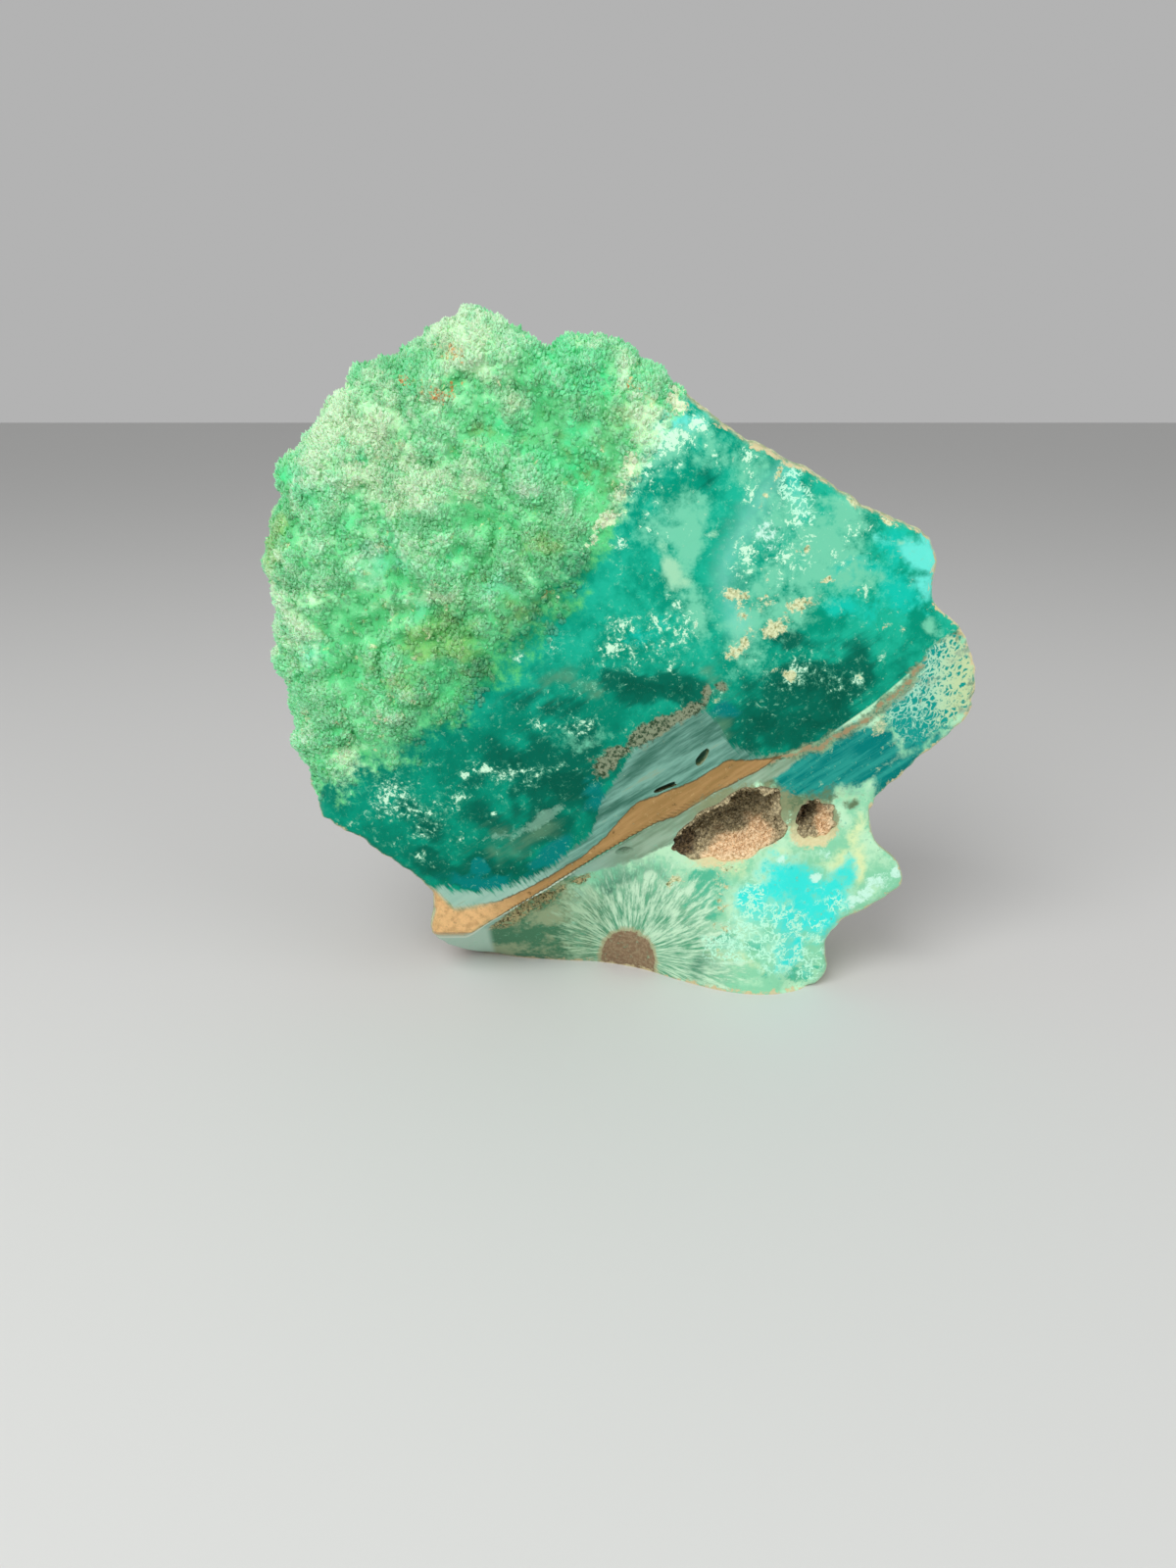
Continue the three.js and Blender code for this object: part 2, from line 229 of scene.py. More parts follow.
def square_to_disc(a, b):
    """The square from -1 to 1 laid over the disc: part of the radius, part of a turn."""
    wide = a * a > b * b
    safe_a, safe_b = np.where(wide, a, 1), np.where(wide | (b == 0), 1, b)
    turn = np.where(wide, np.where(a > 0, 0, 0.5) + b / safe_a / 8,
                    np.where(b > 0, 0.25, 0.75) - a / safe_b / 8)
    return np.maximum(abs(a), abs(b)), turn


def cap_points(part, edge_x, edge_y, edge_z, reach, depth):
    """A cap inside an edge: rays from the face's centre, each a part of the way to the edge,
    with y rounded from the edge's to the depth at x, z."""
    inside = (1 - part) * from_centre(edge_x, edge_z)[1]
    x = FACE_CENTRE[0] + (edge_x - FACE_CENTRE[0]) * part
    z = FACE_CENTRE[1] + (edge_z - FACE_CENTRE[1]) * part
    return np.stack([x, edge_y + (depth(x, z) - edge_y) * round_edge(inside, reach), z], -1)


def front_points(a, b):
    """The front over the square: the cap inside the rim, at the front's depth."""
    part, u = square_to_disc(a, b)
    return cap_points(part, *rim_at(u), front_depth)


def side_points(u, deep):
    """The side: from the front rim straight back, drawing in towards the back rim."""
    rim_x, rim_y, rim_z, _ = rim_at(u)
    draw = 1 - SIDE_DRAW_IN * deep**SIDE_DRAW_CURVE
    back = BACK_RIM[0] + (BACK_RIM[1] - BACK_RIM[0]) * smooth(0, HEEL_HEIGHT, rim_z)
    x = FACE_CENTRE[0] + (rim_x - FACE_CENTRE[0]) * draw
    return np.stack([x, rim_y + (back - rim_y) * deep, rim_z * draw], -1)


def back_depth(x, z):
    """y of the back: a plane with swells and hollows."""
    return BACK_DEPTH + swell(BACK_SWELLS, x, z)


def back_points(a, b):
    """The back over the square: the cap inside the side's last ring, a low dome."""
    part, u = square_to_disc(a, b)
    reach = BACK_ROUND[0] + (BACK_ROUND[1] - BACK_ROUND[0]) * smooth(0, HEEL_HEIGHT, rim_at(u)[2])
    return cap_points(part, *np.moveaxis(side_points(u, 1.0), -1, 0), reach, back_depth)


def grid_quads(index):
    """The squares of a grid of vertex numbers, each as two triangles."""
    a, b, c, d = index[:-1, :-1], index[1:, :-1], index[1:, 1:], index[:-1, 1:]
    return np.concatenate([np.stack([a, b, c], -1).reshape(-1, 3),
                           np.stack([a, c, d], -1).reshape(-1, 3)])


def square_ring(side):
    """Row and column of a square grid's outermost points, in the order of a growing turn."""
    run, low, high = np.arange(side), np.zeros(side, int), np.full(side, side)
    half = side // 2
    rows = np.concatenate([high, side - run, low, run])
    columns = np.concatenate([run, high, side - run, low])
    return np.roll(rows, -half), np.roll(columns, -half)


def add_grid(points, grid):
    """Adds a grid of places to the list and gives back the numbers of its vertices."""
    first = sum(map(len, points))
    points.append(grid.reshape(-1, 3))
    return first + np.arange(len(points[-1])).reshape(grid.shape[:-1])


def closed_quads(index):
    """The squares of a grid that goes round and meets itself, turned outwards."""
    return grid_quads(np.vstack([index, index[:1]]))[:, ::-1]


def stone_grid():
    """Vertices, triangles and the front's share (1 on the front, 0 once on the side) of the
    closed skin: the front's square, fine side rows, a ring that halves them, coarse side rows
    and the back's square with half as many points."""
    points, fine, coarse = [], 4 * ACROSS, 2 * ACROSS
    line = np.linspace(-1, 1, ACROSS + 1)
    front = add_grid(points, front_points(*np.meshgrid(line, line, indexing="ij")))
    deep = FINE_SHARE * np.arange(1, DEEP_FINE + 1) / DEEP_FINE
    side = add_grid(points, side_points(*np.meshgrid(np.arange(fine) / fine, deep, indexing="ij")))
    side = np.column_stack([front[square_ring(ACROSS)], side])
    triangles = [grid_quads(front), closed_quads(side)]
    outer = side[:, -1]
    deep = FINE_SHARE + (1 - FINE_SHARE) * np.arange(1, DEEP_COARSE) / DEEP_COARSE
    side = add_grid(points, side_points(*np.meshgrid(np.arange(coarse) / coarse, deep, indexing="ij")))
    inner = side[:, 0]
    after, middle, beyond = np.roll(inner, -1), outer[1::2], np.roll(outer, -2)[::2]
    triangles += [np.stack([outer[::2], inner, middle], -1), np.stack([middle, inner, after], -1),
                  np.stack([middle, after, beyond], -1)]
    line = np.linspace(-1, 1, ACROSS // 2 + 1)
    back = add_grid(points, back_points(*np.meshgrid(line, line, indexing="ij")))
    side = np.column_stack([side, back[square_ring(ACROSS // 2)]])
    triangles += [grid_quads(back)[:, ::-1], closed_quads(side)]
    points = np.concatenate(points)
    front_share = np.zeros(len(points))
    front_share[: front.size] = 1
    return points, np.concatenate(triangles), front_share


def vertex_normals(points, triangles):
    """Unit normals: the sum of each vertex's triangle normals, weighted by their areas."""
    a, b, c = (points[triangles[:, n]] for n in range(3))
    face = np.cross(b - a, c - a)
    total = np.stack([sum(np.bincount(triangles[:, n], face[:, m], len(points)) for n in range(3))
                      for m in range(3)], -1)
    return total / np.maximum(np.linalg.norm(total, axis=1, keepdims=True), 1e-9)


def mesh_object(name, points, triangles):
    """A mesh object from points in millimetres."""
    mesh = bpy.data.meshes.new(name)
    mesh.from_pydata((points * MM).tolist(), [], triangles.tolist())
    mesh.update()
    made = bpy.data.objects.new(name, mesh)
    bpy.context.scene.collection.objects.link(made)
    return made


def skin_height(points):
    """Height of the natural skin: swells, billows with sharp creases between them, and grain."""
    flat = points * [1, 0.5, 1]
    warped = flat + SKIN_WARP * np.stack([lumps(flat + shift, WARP_SIZE) for shift in (0, 40, 80)], -1)
    return (SKIN_SWELLS[0] * lumps(flat, SKIN_SWELLS[1])
            + SKIN_BILLOWS[0] * (abs(lumps(warped, SKIN_BILLOWS[1])) - 0.4)
            + SKIN_GRAIN[0] * lumps(warped, SKIN_GRAIN[1]))


def broken_height(points):
    """Height of the broken sides and back: swells, ledges with creases between them, and grain."""
    warped = points + BROKEN_WARP * lumps(points, WARP_SIZE)[:, None]
    return (BROKEN_SWELLS[0] * lumps(points, BROKEN_SWELLS[1])
            + BROKEN_LEDGES[0] * (abs(lumps(warped, BROKEN_LEDGES[1])) - 0.35)
            + BROKEN_GRAIN[0] * lumps(points, BROKEN_GRAIN[1]))


def behind_rim(points):
    """How far back from the front rim points lie."""
    x, y, z = points.T
    return y - np.interp(from_centre(x, z)[0], RIM_TURN, RIM_Y)


def skin_relief(points, front_share):
    """How far the skin stands out: the natural skin's height on the front, larger broken lumps
    on the sides and the back, and nothing on a cut face."""
    x, _, z = points.T
    natural = natural_at(x, z)
    front = natural * skin_height(points)
    rough = broken_height(points)
    behind = smooth(0, BROKEN_FROM, behind_rim(points))
    side = natural * front + (1 - natural) * rough * behind
    side += natural * behind * (rough - front)
    height = front_share * front + (1 - front_share) * side - CRYSTAL_ROOM * natural
    return height * smooth(0, SMOOTH_FOOT, z)


stone_points, stone_triangles, front_share = stone_grid()
normals = vertex_normals(stone_points, stone_triangles)
stone_points += normals * skin_relief(stone_points, front_share)[:, None]
stone = mesh_object("smithsonite_stone", stone_points, stone_triangles)


# The hollows: middle, half sizes, turn about Y and slope of the floor in degrees. The two vugs
# have a seed of their own for their lumps, and finer lumps too; the pits beside the vein don't.
VUG_LUMP = 0.14  # height of the lumps, as a part of the half size
VUG_LUMP_CELLS = 2  # how many lumps there are from the middle to the wall
VUG_FINE_LUMP = (0.9, 0.42)  # height and size of the finer lumps, as parts of the others'
LARGE_VUG = {"middle": (29.5, -17.5, 50.5), "half": (17, 12.5, 9.5), "turn": -21, "slope": 25,
             "seed": 3, "taper": 0.35}
SMALL_VUG = {"middle": (52, -18.5, 52.5), "half": (6.2, 8, 6), "turn": -40, "slope": 15, "seed": 8,
             "taper": 0.3}
PITS = [
    {"middle": (21.5, -21.5, 70.5), "half": (1.3, 3, 3.4), "turn": 32},
    {"middle": (12, -21, 62), "half": (6.2, 2.2, 1.5), "turn": -24},
    {"middle": (1, -21.5, 42.5), "half": (2.6, 2.6, 1.2), "turn": -10},
    {"middle": (-24, -20, 26), "half": (6.5, 3.2, 3), "turn": -28},
]
VUG_ROWS = 48
PIT_ROWS = 20


def ball(middle, half, turn, slope=0, seed=0, taper=0, rows=PIT_ROWS, inset=0, grain=None):
    """A lumpy ball over longitude and latitude, poles in front and behind: each half size times
    one plus a lump, less the inset, thinner to its left by the taper, then sloped about X and
    turned about Y."""
    columns = 2 * rows
    latitude = np.pi * (np.arange(1, rows) / rows)
    longitude = 2 * np.pi * np.arange(columns) / columns
    latitude, longitude = np.meshgrid(latitude, longitude, indexing="ij")
    unit = np.stack([np.sin(latitude) * np.cos(longitude), np.cos(latitude),
                     np.sin(latitude) * np.sin(longitude)], -1).reshape(-1, 3)
    unit = np.vstack([unit, [[0, 1, 0], [0, -1, 0]]])
    place = unit * VUG_LUMP_CELLS + [seed * VUG_LUMP_CELLS, 0, 0]
    fine = VUG_FINE_LUMP[0] * lumps(place, VUG_FINE_LUMP[1]) * (seed > 0)
    lump = 1 + VUG_LUMP * (lumps(place, 1) + fine)
    size = np.array(half) * lump[:, None] - inset
    if grain is not None:
        size -= grain(unit * np.array(half))[:, None]
    x, y, z = (unit * size).T
    z = z * (1 + taper * unit[:, 0])
    tilt, swing = math.radians(slope), math.radians(turn)
    y, z = y * math.cos(tilt) - z * math.sin(tilt), y * math.sin(tilt) + z * math.cos(tilt)
    x, z = x * math.cos(swing) + z * math.sin(swing), z * math.cos(swing) - x * math.sin(swing)
    pole = (rows - 1) * columns
    index = np.arange(pole).reshape(rows - 1, columns)
    index = np.column_stack([index, index[:, :1]])
    caps = [np.stack([np.full(columns, pole), index[0, :-1], index[0, 1:]], -1),
            np.stack([np.full(columns, pole + 1), index[-1, 1:], index[-1, :-1]], -1)]
    triangles = np.concatenate([grid_quads(index), *caps])
    return np.stack([x, y, z], -1) + middle, triangles[:, ::-1]


def cut(target, tool, operation):
    """Cuts or meets the target with the tool, applies it and drops the tool."""
    modifier = target.modifiers.new("cut", "BOOLEAN")
    modifier.solver = "MANIFOLD"
    modifier.operation = operation
    modifier.object = tool
    result = bpy.data.meshes.new_from_object(
        target.evaluated_get(bpy.context.evaluated_depsgraph_get()))
    target.modifiers.clear()
    target.data = result
    bpy.data.objects.remove(tool)


for hollow in (LARGE_VUG, SMALL_VUG):
    cut(stone, mesh_object("hollow", *ball(rows=VUG_ROWS, **hollow)), "DIFFERENCE")
for pit in PITS:
    cut(stone, mesh_object("pit", *ball(**pit)), "DIFFERENCE")
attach(stone, "root")
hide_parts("stone")


# ---- The stone: its colour zones -------------------------------------------------------------
# The zinc carbonate grew in bands and clouds of copper green over brown iron ore, so the cut
# face shows veins, milky clouds, white flecks and a spray of fibres, and the skin shows moss green.

# Soft oval spots of each zone on the front: x, z, half length, half width, turn in degrees and
# strength.
SPOTS = {
    "deep": [  # clear, dark parts of the teal
        (-18, 62, 15, 8, 10, 1), (-30, 73, 9, 4, 0, 0.8), (-40, 52, 12, 5, 0, 0.8),
        (-33, 38, 16, 4, 0, 0.9), (-58, 54, 10, 5, -30, 0.6), (10, 90, 14, 4.5, 15, 1),
        (46, 87, 26, 9, 20, 1), (45, 78, 14, 5, 22, 1), (50, 100, 9, 3, 0, 0.7),
        (18, 143, 4, 5, 0, 0.3), (-22, 72, 22, 9, 5, 0.7), (-22, 52, 10, 7, 30, 1),
        (-52, 40, 9, 4, -20, 0.8), (-17, 83, 8, 4, 20, 0.6), (-14, 57, 12, 6, 20, 1),
        (-24, 88, 8, 4, 0, 0.5),
    ],
    "blue_teal": [  # bluer parts, by the vein's upper edge and at the right
        (-8, 59, 6, 4, 50, 0.9), (-18, 44, 8, 3, 40, 0.9), (-35, 36, 13, 2, 0, 0.8),
        (24, 85, 4, 3, 90, 0.9), (57, 68, 9, 6, 25, 1.2), (50, 63, 6, 3, 0, 0.9),
        (64, 73, 5, 5, 60, 1), (74, 66, 8, 5, 45, 0.8), (82, 73, 6, 3, 45, 0.7),
        (52, 68, 10, 4.5, 15, 1.3), (62, 70, 8, 6, 30, 1.3), (47, 65, 6, 2.5, 20, 1.1),
        (58, 73.5, 7, 4, 28, 1.4), (65, 77, 5, 4, 45, 1.1), (76, 72, 7, 5, 40, 0.9),
    ],
    "milky": [  # milky clouds at the top
        (15, 130, 9, 8, 0, 0.9), (17.5, 110, 7, 7, 0, 0.9), (13, 119, 5, 8, 0, 0.6),
        (51, 122, 14, 10, -15, 0.9), (38, 118, 7, 7, 0, 0.8), (30, 131, 10, 4, 75, 0.5),
        (35, 106, 6, 4, 0, 0.8), (45, 135, 10, 5, -30, 0.5), (60, 126, 6, 5, 0, 0.6),
        (9, 151, 10, 8, 20, 0.9), (16, 154, 9, 4, -40, 0.8), (-12, 77, 9, 3, 0, 0.25),
        (4, 143, 4, 8, -20, 0.7), (36, 104, 10, 7, 40, 0.7), (44, 108, 8, 5, 10, 0.8),
        (-5, 76, 6, 3, 0, 0.6), (36, 130, 6, 7, 0, 1), (54.5, 132.5, 8, 4, -25, 0.9),
        (27, 146, 6, 5, 0, 0.8), (82, 105, 3, 3, 0, 0.9),
    ],
    "oval": [  # pale spots among the clouds
        (12, 121, 5.5, 3, 110, 1), (15, 117, 3, 2.5, 0, 0.7), (22, 129.5, 2, 1.5, 20, 0.9),
        (70, 127, 2, 1.5, 0, 0.8),
    ],
    "bright": [  # bright teal, most of it at the upper right
        (63, 118, 8, 4, -10, 0.9), (72, 112, 7, 5, 20, 0.9), (70, 123, 8, 7, -30, 0.7),
        (41, 138, 5, 7, 0, 0.9), (58, 110, 6, 3, 0, 0.6), (80, 108, 3, 5, 0, 0.5),
        (8, 103, 8, 4, 20, 0.4),
    ],
    "turquoise": [  # the turquoise cloud at the right of the foot
        (50, 25, 8, 6, 60, 1.2), (44, 31, 11, 8, 10, 1.1), (55, 29, 7, 7, 60, 1),
        (53, 20, 7, 6, 80, 1), (50, 11, 4, 5, 80, 0.8), (36, 30, 5, 5, 0, 0.9),
        (58, 36, 6, 4, 20, 0.7), (44, 41, 5, 3, 0, 0.6), (81, 78, 5.5, 5, 45, 0.4),
    ],
    "cyan": [  # pale blue along the polished face's upper edge
        (76, 124, 5, 4.5, -40, 1.3), (77, 116, 3, 6, 0, 0.8), (13, 158, 8, 3, -40, 0.9),
        (5, 153, 5, 3, 0, 0.5), (64, 127, 5, 3, -20, 0.6),
    ],
    "fleck": [  # frosty white flecks
        (9, 151, 7, 5, 20, 1.1), (5, 147, 4, 3, 0, 1), (12, 144, 3, 3, 0, 0.8),
        (18, 155, 5, 2.5, -40, 0.8), (22, 147, 2, 3, 60, 0.7), (29, 147, 2.5, 3.5, 10, 1),
        (30, 139, 2, 5, 0, 0.8), (25, 141, 2.5, 2, 0, 0.7), (21.5, 129.5, 2, 1.5, 0, 1.1),
        (6.5, 131.5, 1.5, 1, 0, 1), (0, 127, 3, 4, 60, 0.9), (-1, 121, 3, 3, 0, 0.8),
        (0, 106, 4, 5, 60, 0.8), (-2, 101, 4, 4, 0, 0.8), (13, 96, 1.5, 2, 0, 1),
        (7, 105, 3, 3, 0, 0.8), (31, 124, 4, 7, 0, 0.9), (38, 126, 3, 3, 0, 0.8),
        (57, 130, 5, 2.5, -20, 0.8), (56, 135, 3, 1.5, -40, 0.6), (62, 114, 2, 2, 0, 0.7),
        (-43, 66, 2, 2, 60, 1.1), (-37, 67.5, 1.5, 2, 0, 1), (-44, 60, 2.5, 2, 60, 1.1),
        (-27, 67.5, 2, 1, 0, 1.1), (-31, 67, 1.5, 1.5, 0, 0.9), (-34.5, 54, 1.5, 1, 0, 1),
        (-44, 47, 2, 1, 0, 1), (-56, 42, 4, 2, -20, 0.8), (-56, 49, 4, 3, -20, 0.9),
        (-69, 54, 4, 2, -30, 0.6), (-62, 60, 5, 3, -20, 0.6), (-50, 68, 6, 2, 0, 0.5),
        (-16, 69, 3, 1.5, 20, 0.6), (2.5, 96, 3, 3, 0, 0.7), (9, 103, 3, 2, 0, 0.6),
        (-17, 101, 4, 3, 0, 0.6), (-26, 100, 3, 3, 0, 0.5), (25, 90, 2, 3, 60, 0.7),
        (44, 91, 3, 4, -60, 0.9), (61.5, 93, 1.2, 3, 0, 0.9), (68, 98, 1.5, 2, 0, 0.8),
        (-12, 79, 6, 3, 10, 0.5), (-22, 80, 3, 2, 0, 0.6), (50, 125, 12, 9, 0, 0.6),
        (10, 105, 16, 8, 30, 0.5), (-60, 55, 16, 10, -25, 0.45), (45, 92, 16, 7, 0, 0.4),
        (8, 153, 10, 7, -20, 0.9), (4, 144, 5, 9, -20, 0.85), (-2, 134, 5, 3, 40, 0.8),
        (13, 137, 14, 14, 0, 0.3), (40, 128, 9, 12, 0, 0.6), (-35, 64, 16, 5, 0, 0.6),
        (-10, 90, 20, 5, 20, 0.4),
    ],
    "crust": [  # cream crusts
        (30, 114, 6, 2, 0, 1), (31, 109, 2, 5, 0, 1), (38, 112, 4, 3, 60, 1),
        (45, 111, 6, 2.6, 10, 1), (40, 105.5, 5, 2.4, 40, 0.95), (31, 100, 5, 2.4, 35, 1.1),
        (34, 104, 3, 1.5, 50, 0.7), (68, 106, 2, 1.4, 20, 1), (61.5, 114.5, 2, 1.5, 0, 0.7),
        (68.5, 98.5, 1.4, 1.6, 60, 0.9), (72.5, 104.5, 1.3, 1.1, 0, 0.9), (61.5, 93, 1, 2, 0, 0.6),
        (43, 92, 3, 1.2, -40, 0.9), (40, 94, 2.4, 1.2, 0, 0.8), (46, 124, 3, 1.5, 0, 0.8),
        (37, 143, 1.5, 4, -20, 0.9), (48, 142, 4, 1.2, -35, 0.7), (57, 136, 4, 1.5, -30, 0.9),
        (66, 132, 3, 1, -30, 0.8), (24, 87, 1.5, 1.5, 0, 0.9), (28, 20, 4, 3, 0, 1),
        (29, 26, 2.4, 4, 0, 0.9), (27, 32, 2.4, 5, 10, 0.95), (27, 38, 4, 3, -30, 0.9),
        (15, 33.5, 4, 3.4, 0, 0.95), (1, 146, 2, 5, -20, 0.62), (-1, 140, 2, 5, -30, 0.64),
        (-4, 133, 5, 1.6, 40, 0.72), (13, 160, 4, 2, -40, 0.8), (5, 157, 4, 2, 0, 0.7),
        (-8, 127, 4, 1.2, 50, 0.6), (27, 95, 1, 4, -25, 0.7), (35, 120, 1.2, 4, 10, 0.6),
        (34, 138, 1.2, 4, -25, 0.7), (52, 117, 3, 1.2, 20, 0.6), (-16, 115, 3, 1, 60, 0.5),
    ],
    "lace": [  # white lace, most of it in the turquoise cloud
        (41, 18, 8, 8, 0, 1), (49, 16, 5, 6, 0, 0.9), (38, 25, 6, 6, 0, 0.8),
        (34, 12, 9, 6, 0, 0.9), (32, 20, 5, 5, 0, 0.8), (41, 137, 5, 7, 0, 1),
        (44, 132, 4, 3, 0, 0.6), (52, 9, 6, 5, 20, 0.8), (56, 26, 5, 7, 60, 0.5),
        (36, 33, 5, 4, 0, 0.5),
    ],
    "white": [  # white patches, most of them at the right of the foot
        (44, 41, 1.5, 2.2, -20, 0.9), (53, 35, 1.5, 2, -30, 0.9), (77, 36, 2, 2, 0, 0.8),
        (67, 29, 5, 2.5, 30, 0.7), (55, 43, 3, 2, 0, 0.5), (72, 34, 5, 4, 0, 0.5),
        (36, 128, 5, 6, 0, 0.6),
    ],
    "leopard": [  # dark cells in a pale net, at the right
        (82, 82, 14, 7, 50, 1), (88, 90, 8, 5, 80, 1), (75, 77, 6, 4, 30, 0.7),
        (84, 96, 8, 4, 50, 0.9), (76, 86, 8, 4, 48, 0.8),
    ],
    "net": [  # cream net by the pink line
        (67, 81, 4, 2, 45, 0.8), (72, 85, 4, 2, 45, 0.7), (69, 74, 3, 2, 60, 0.5),
        (77, 90, 5, 2, 48, 0.8), (84, 98, 5, 2, 45, 0.7), (68, 67, 2, 3, 60, 0.5),
    ],
    "yellow": [  # yellow-green edges under the seam
        (65, 38, 3, 6, 10, 1), (63.5, 47, 3, 8, 0, 1), (91, 88, 2.5, 7, -10, 0.9),
        (84, 101, 4, 2, 30, 0.8), (30, 8, 8, 3, 5, 0.9), (39, 7, 5, 2, 0, 0.6),
        (57, 40.5, 5, 2.5, 0, 0.9), (44, 42, 4, 3, 20, 0.9), (30, 37, 8, 2.5, 15, 0.8),
        (54, 60, 8, 2, 0, 0.5),
    ],
    "mid_green": [  # greener parts of the mint foot
        (22, 29, 5, 5, 0, 0.9), (29, 14, 8, 4, 10, 0.6), (40, 13, 3, 3, 0, 0.6),
        (54, 6, 4, 3, 20, 0.6), (20, 22, 4, 3, 0, 0.5), (48, 6, 5, 3, 0, 0.7),
    ],
    "grey_green": [  # dull green between the vein and the hollows
        (37, 62, 7, 3.5, 35, 1), (44, 60, 7, 3, 0, 0.9), (52, 60.5, 6, 2.2, 5, 0.8),
        (33, 58, 4, 2, 40, 0.8), (60, 58, 5, 2.5, 0, 0.45),
    ],
    "cloud": [  # grey-green clouds in the teal
        (-27, 48, 12, 5, 22, 0.45), (-17, 53, 6, 3, 40, 0.3), (-12, 91, 6, 4, -30, 0.7),
        (-8, 86, 4, 2.5, 0, 0.6), (22, 79, 5, 4, 20, 0.7), (26, 95, 3, 6, -30, 0.7),
        (-34, 43, 8, 3, 10, 0.5),
    ],
    "feather": [  # a pale feather across the deep teal
        (-22, 52.5, 10, 1.6, 28, 1), (-34, 47, 5, 1.2, 20, 0.7), (-14, 57, 3, 1.2, 50, 0.6),
    ],
    "specks": [  # the speckled grey vein
        (-3, 69, 5, 2.5, 50, 0.9), (-1, 71.5, 6, 3, 20, 1), (5, 76, 6, 2.6, 30, 1.1),
        (11, 80, 7, 2, 30, 1.1), (17, 84, 5, 1.8, 30, 1.1), (21, 88, 1.6, 4.5, -20, 1),
        (25, 91, 2, 2, 0, 0.8),
    ],
    "pocket": [  # the brown pocket under the vein's left end
        (-31, 21.5, 9, 3.6, 38, 1.2), (-23, 26, 6, 3.4, 25, 1), (-11.5, 33, 4, 1.6, 25, 1),
        (-38, 16.5, 3, 1.8, 40, 0.9), (-17, 30, 3, 1.5, 30, 0.7),
    ],
    "dark_fibres": [  # dark parts of the spray
        (-5, 32, 6, 2.5, 20, 0.9), (3, 37, 8, 4, 0, 1), (9, 35, 5, 2, -10, 0.9),
        (21, 6, 7, 4, 0, 0.55), (-12, 27, 4, 5, 0, 0.8),
    ],
    "moss": [  # mossy parts of the green skin
        (-47, 101, 11, 7, 0, 1), (-37, 96, 6, 5, 0, 0.8), (-3, 153, 6, 7, 0, 0.6),
        (-55, 91, 15, 6, -20, 0.5), (-22, 127, 11, 7, 0, 0.4), (-3, 135, 4, 4, 0, 0.6),
        (-89, 124, 4, 9, 0, 0.7),
    ],
    "rust": [  # rusty dots on the green skin
        (-45, 162, 5, 4, 0, 1), (-41, 172, 5, 3, 0, 0.8), (-54, 165, 4, 2, 0, 0.7),
        (-19, 115, 1.2, 3, -30, 1.2), (1, 164, 2, 2, 0, 0.5), (-29, 175, 2, 1, 0, 0.5),
        (6, 145, 2, 2, 0, 0.5),
    ],
    "clear_green": [  # clear green parts of the green skin
        (-13, 168, 15, 10, 0, 0.9), (-17, 145, 13, 10, 0, 0.8), (-67, 128, 9, 7, 0, 0.5),
        (-27, 153, 10, 6, 0, 0.5), (-63, 120, 10, 8, 0, 0.4),
    ],
    "skin_blue": [  # bluish parts of the green skin
        (-80, 140, 6, 5, 0, 1), (-62, 122, 8, 4, 0, 1), (-50, 108, 6, 3, 0, 0.7),
        (-84, 96, 5, 8, 0, 0.7), (-8, 152, 6, 8, 60, 0.6), (-36, 116, 8, 5, 0, 0.6),
    ],
    "pale_skin": [  # pale parts of the green skin
        (-70, 152, 26, 20, -20, 1), (-41, 178, 18, 11, 0, 1), (-61, 120, 13, 8, 0, 0.4),
        (-85, 105, 8, 16, 0, 0.7), (-10, 176, 10, 5, 0, 0.6), (5, 157, 7, 9, 0, 1.2),
        (0, 142, 5, 8, -20, 0.9), (-74, 67, 8, 7, 0, 0.6), (-55, 112, 13, 4, -10, 0.6),
        (-2, 167, 5, 6, 0, 0.7), (-52, 168, 6, 5, 0, 0.6), (-27, 163, 6, 6, 0, 0.6),
    ],
}

# Lines on the front, x and z: the tan vein's edges, the top of the pale strip over it, the foot
# of the pale band under it, the pink line and the blue band.
VEIN_TOP = [
    (-56, 33), (-51.5, 31), (-46.5, 25.5), (-33.5, 27.5), (-24, 32.5), (-11, 41), (-4, 47.5),
    (1.5, 54.5), (4.5, 57.5), (19.5, 63.5), (28, 69.5), (37.5, 69.5), (43, 70.5),
]
VEIN_FOOT = [
    (-56, 14), (-44, 14.5), (-37.5, 20.5), (-17.5, 34), (-6, 42), (9.5, 51.5), (14.5, 53),
    (25.5, 60.5), (36.5, 66.5), (41, 70),
]
STRIP_TOP = [
    (-56, 32.5), (-40, 31), (-29, 33), (-19.5, 38.5), (-8, 48.5), (-5.5, 57.5), (0, 66.5), (3, 73),
    (9.5, 78.5), (18.5, 84.5), (22, 84), (25, 80), (28, 74.5), (34, 71), (43, 70),
]
BAND_FOOT = [
    (-38, 17.5), (-27, 26), (-17, 33.5), (-3.5, 36.5), (3.5, 39), (13, 44), (20, 50.5), (30, 58),
    (36.5, 63), (47, 67.5), (60, 78),
]
PINK_LINE = [
    (38, 69.5), (45, 71), (52.5, 72.5), (56, 75.3), (60, 77.5), (64, 80.3), (66.6, 83), (69.5, 86),
    (74, 90), (78, 95), (82, 100), (88, 104),
]
BLUE_BAND = [(38, 144.5), (32.5, 138), (29.5, 133), (28, 125), (27, 116), (32, 105)]

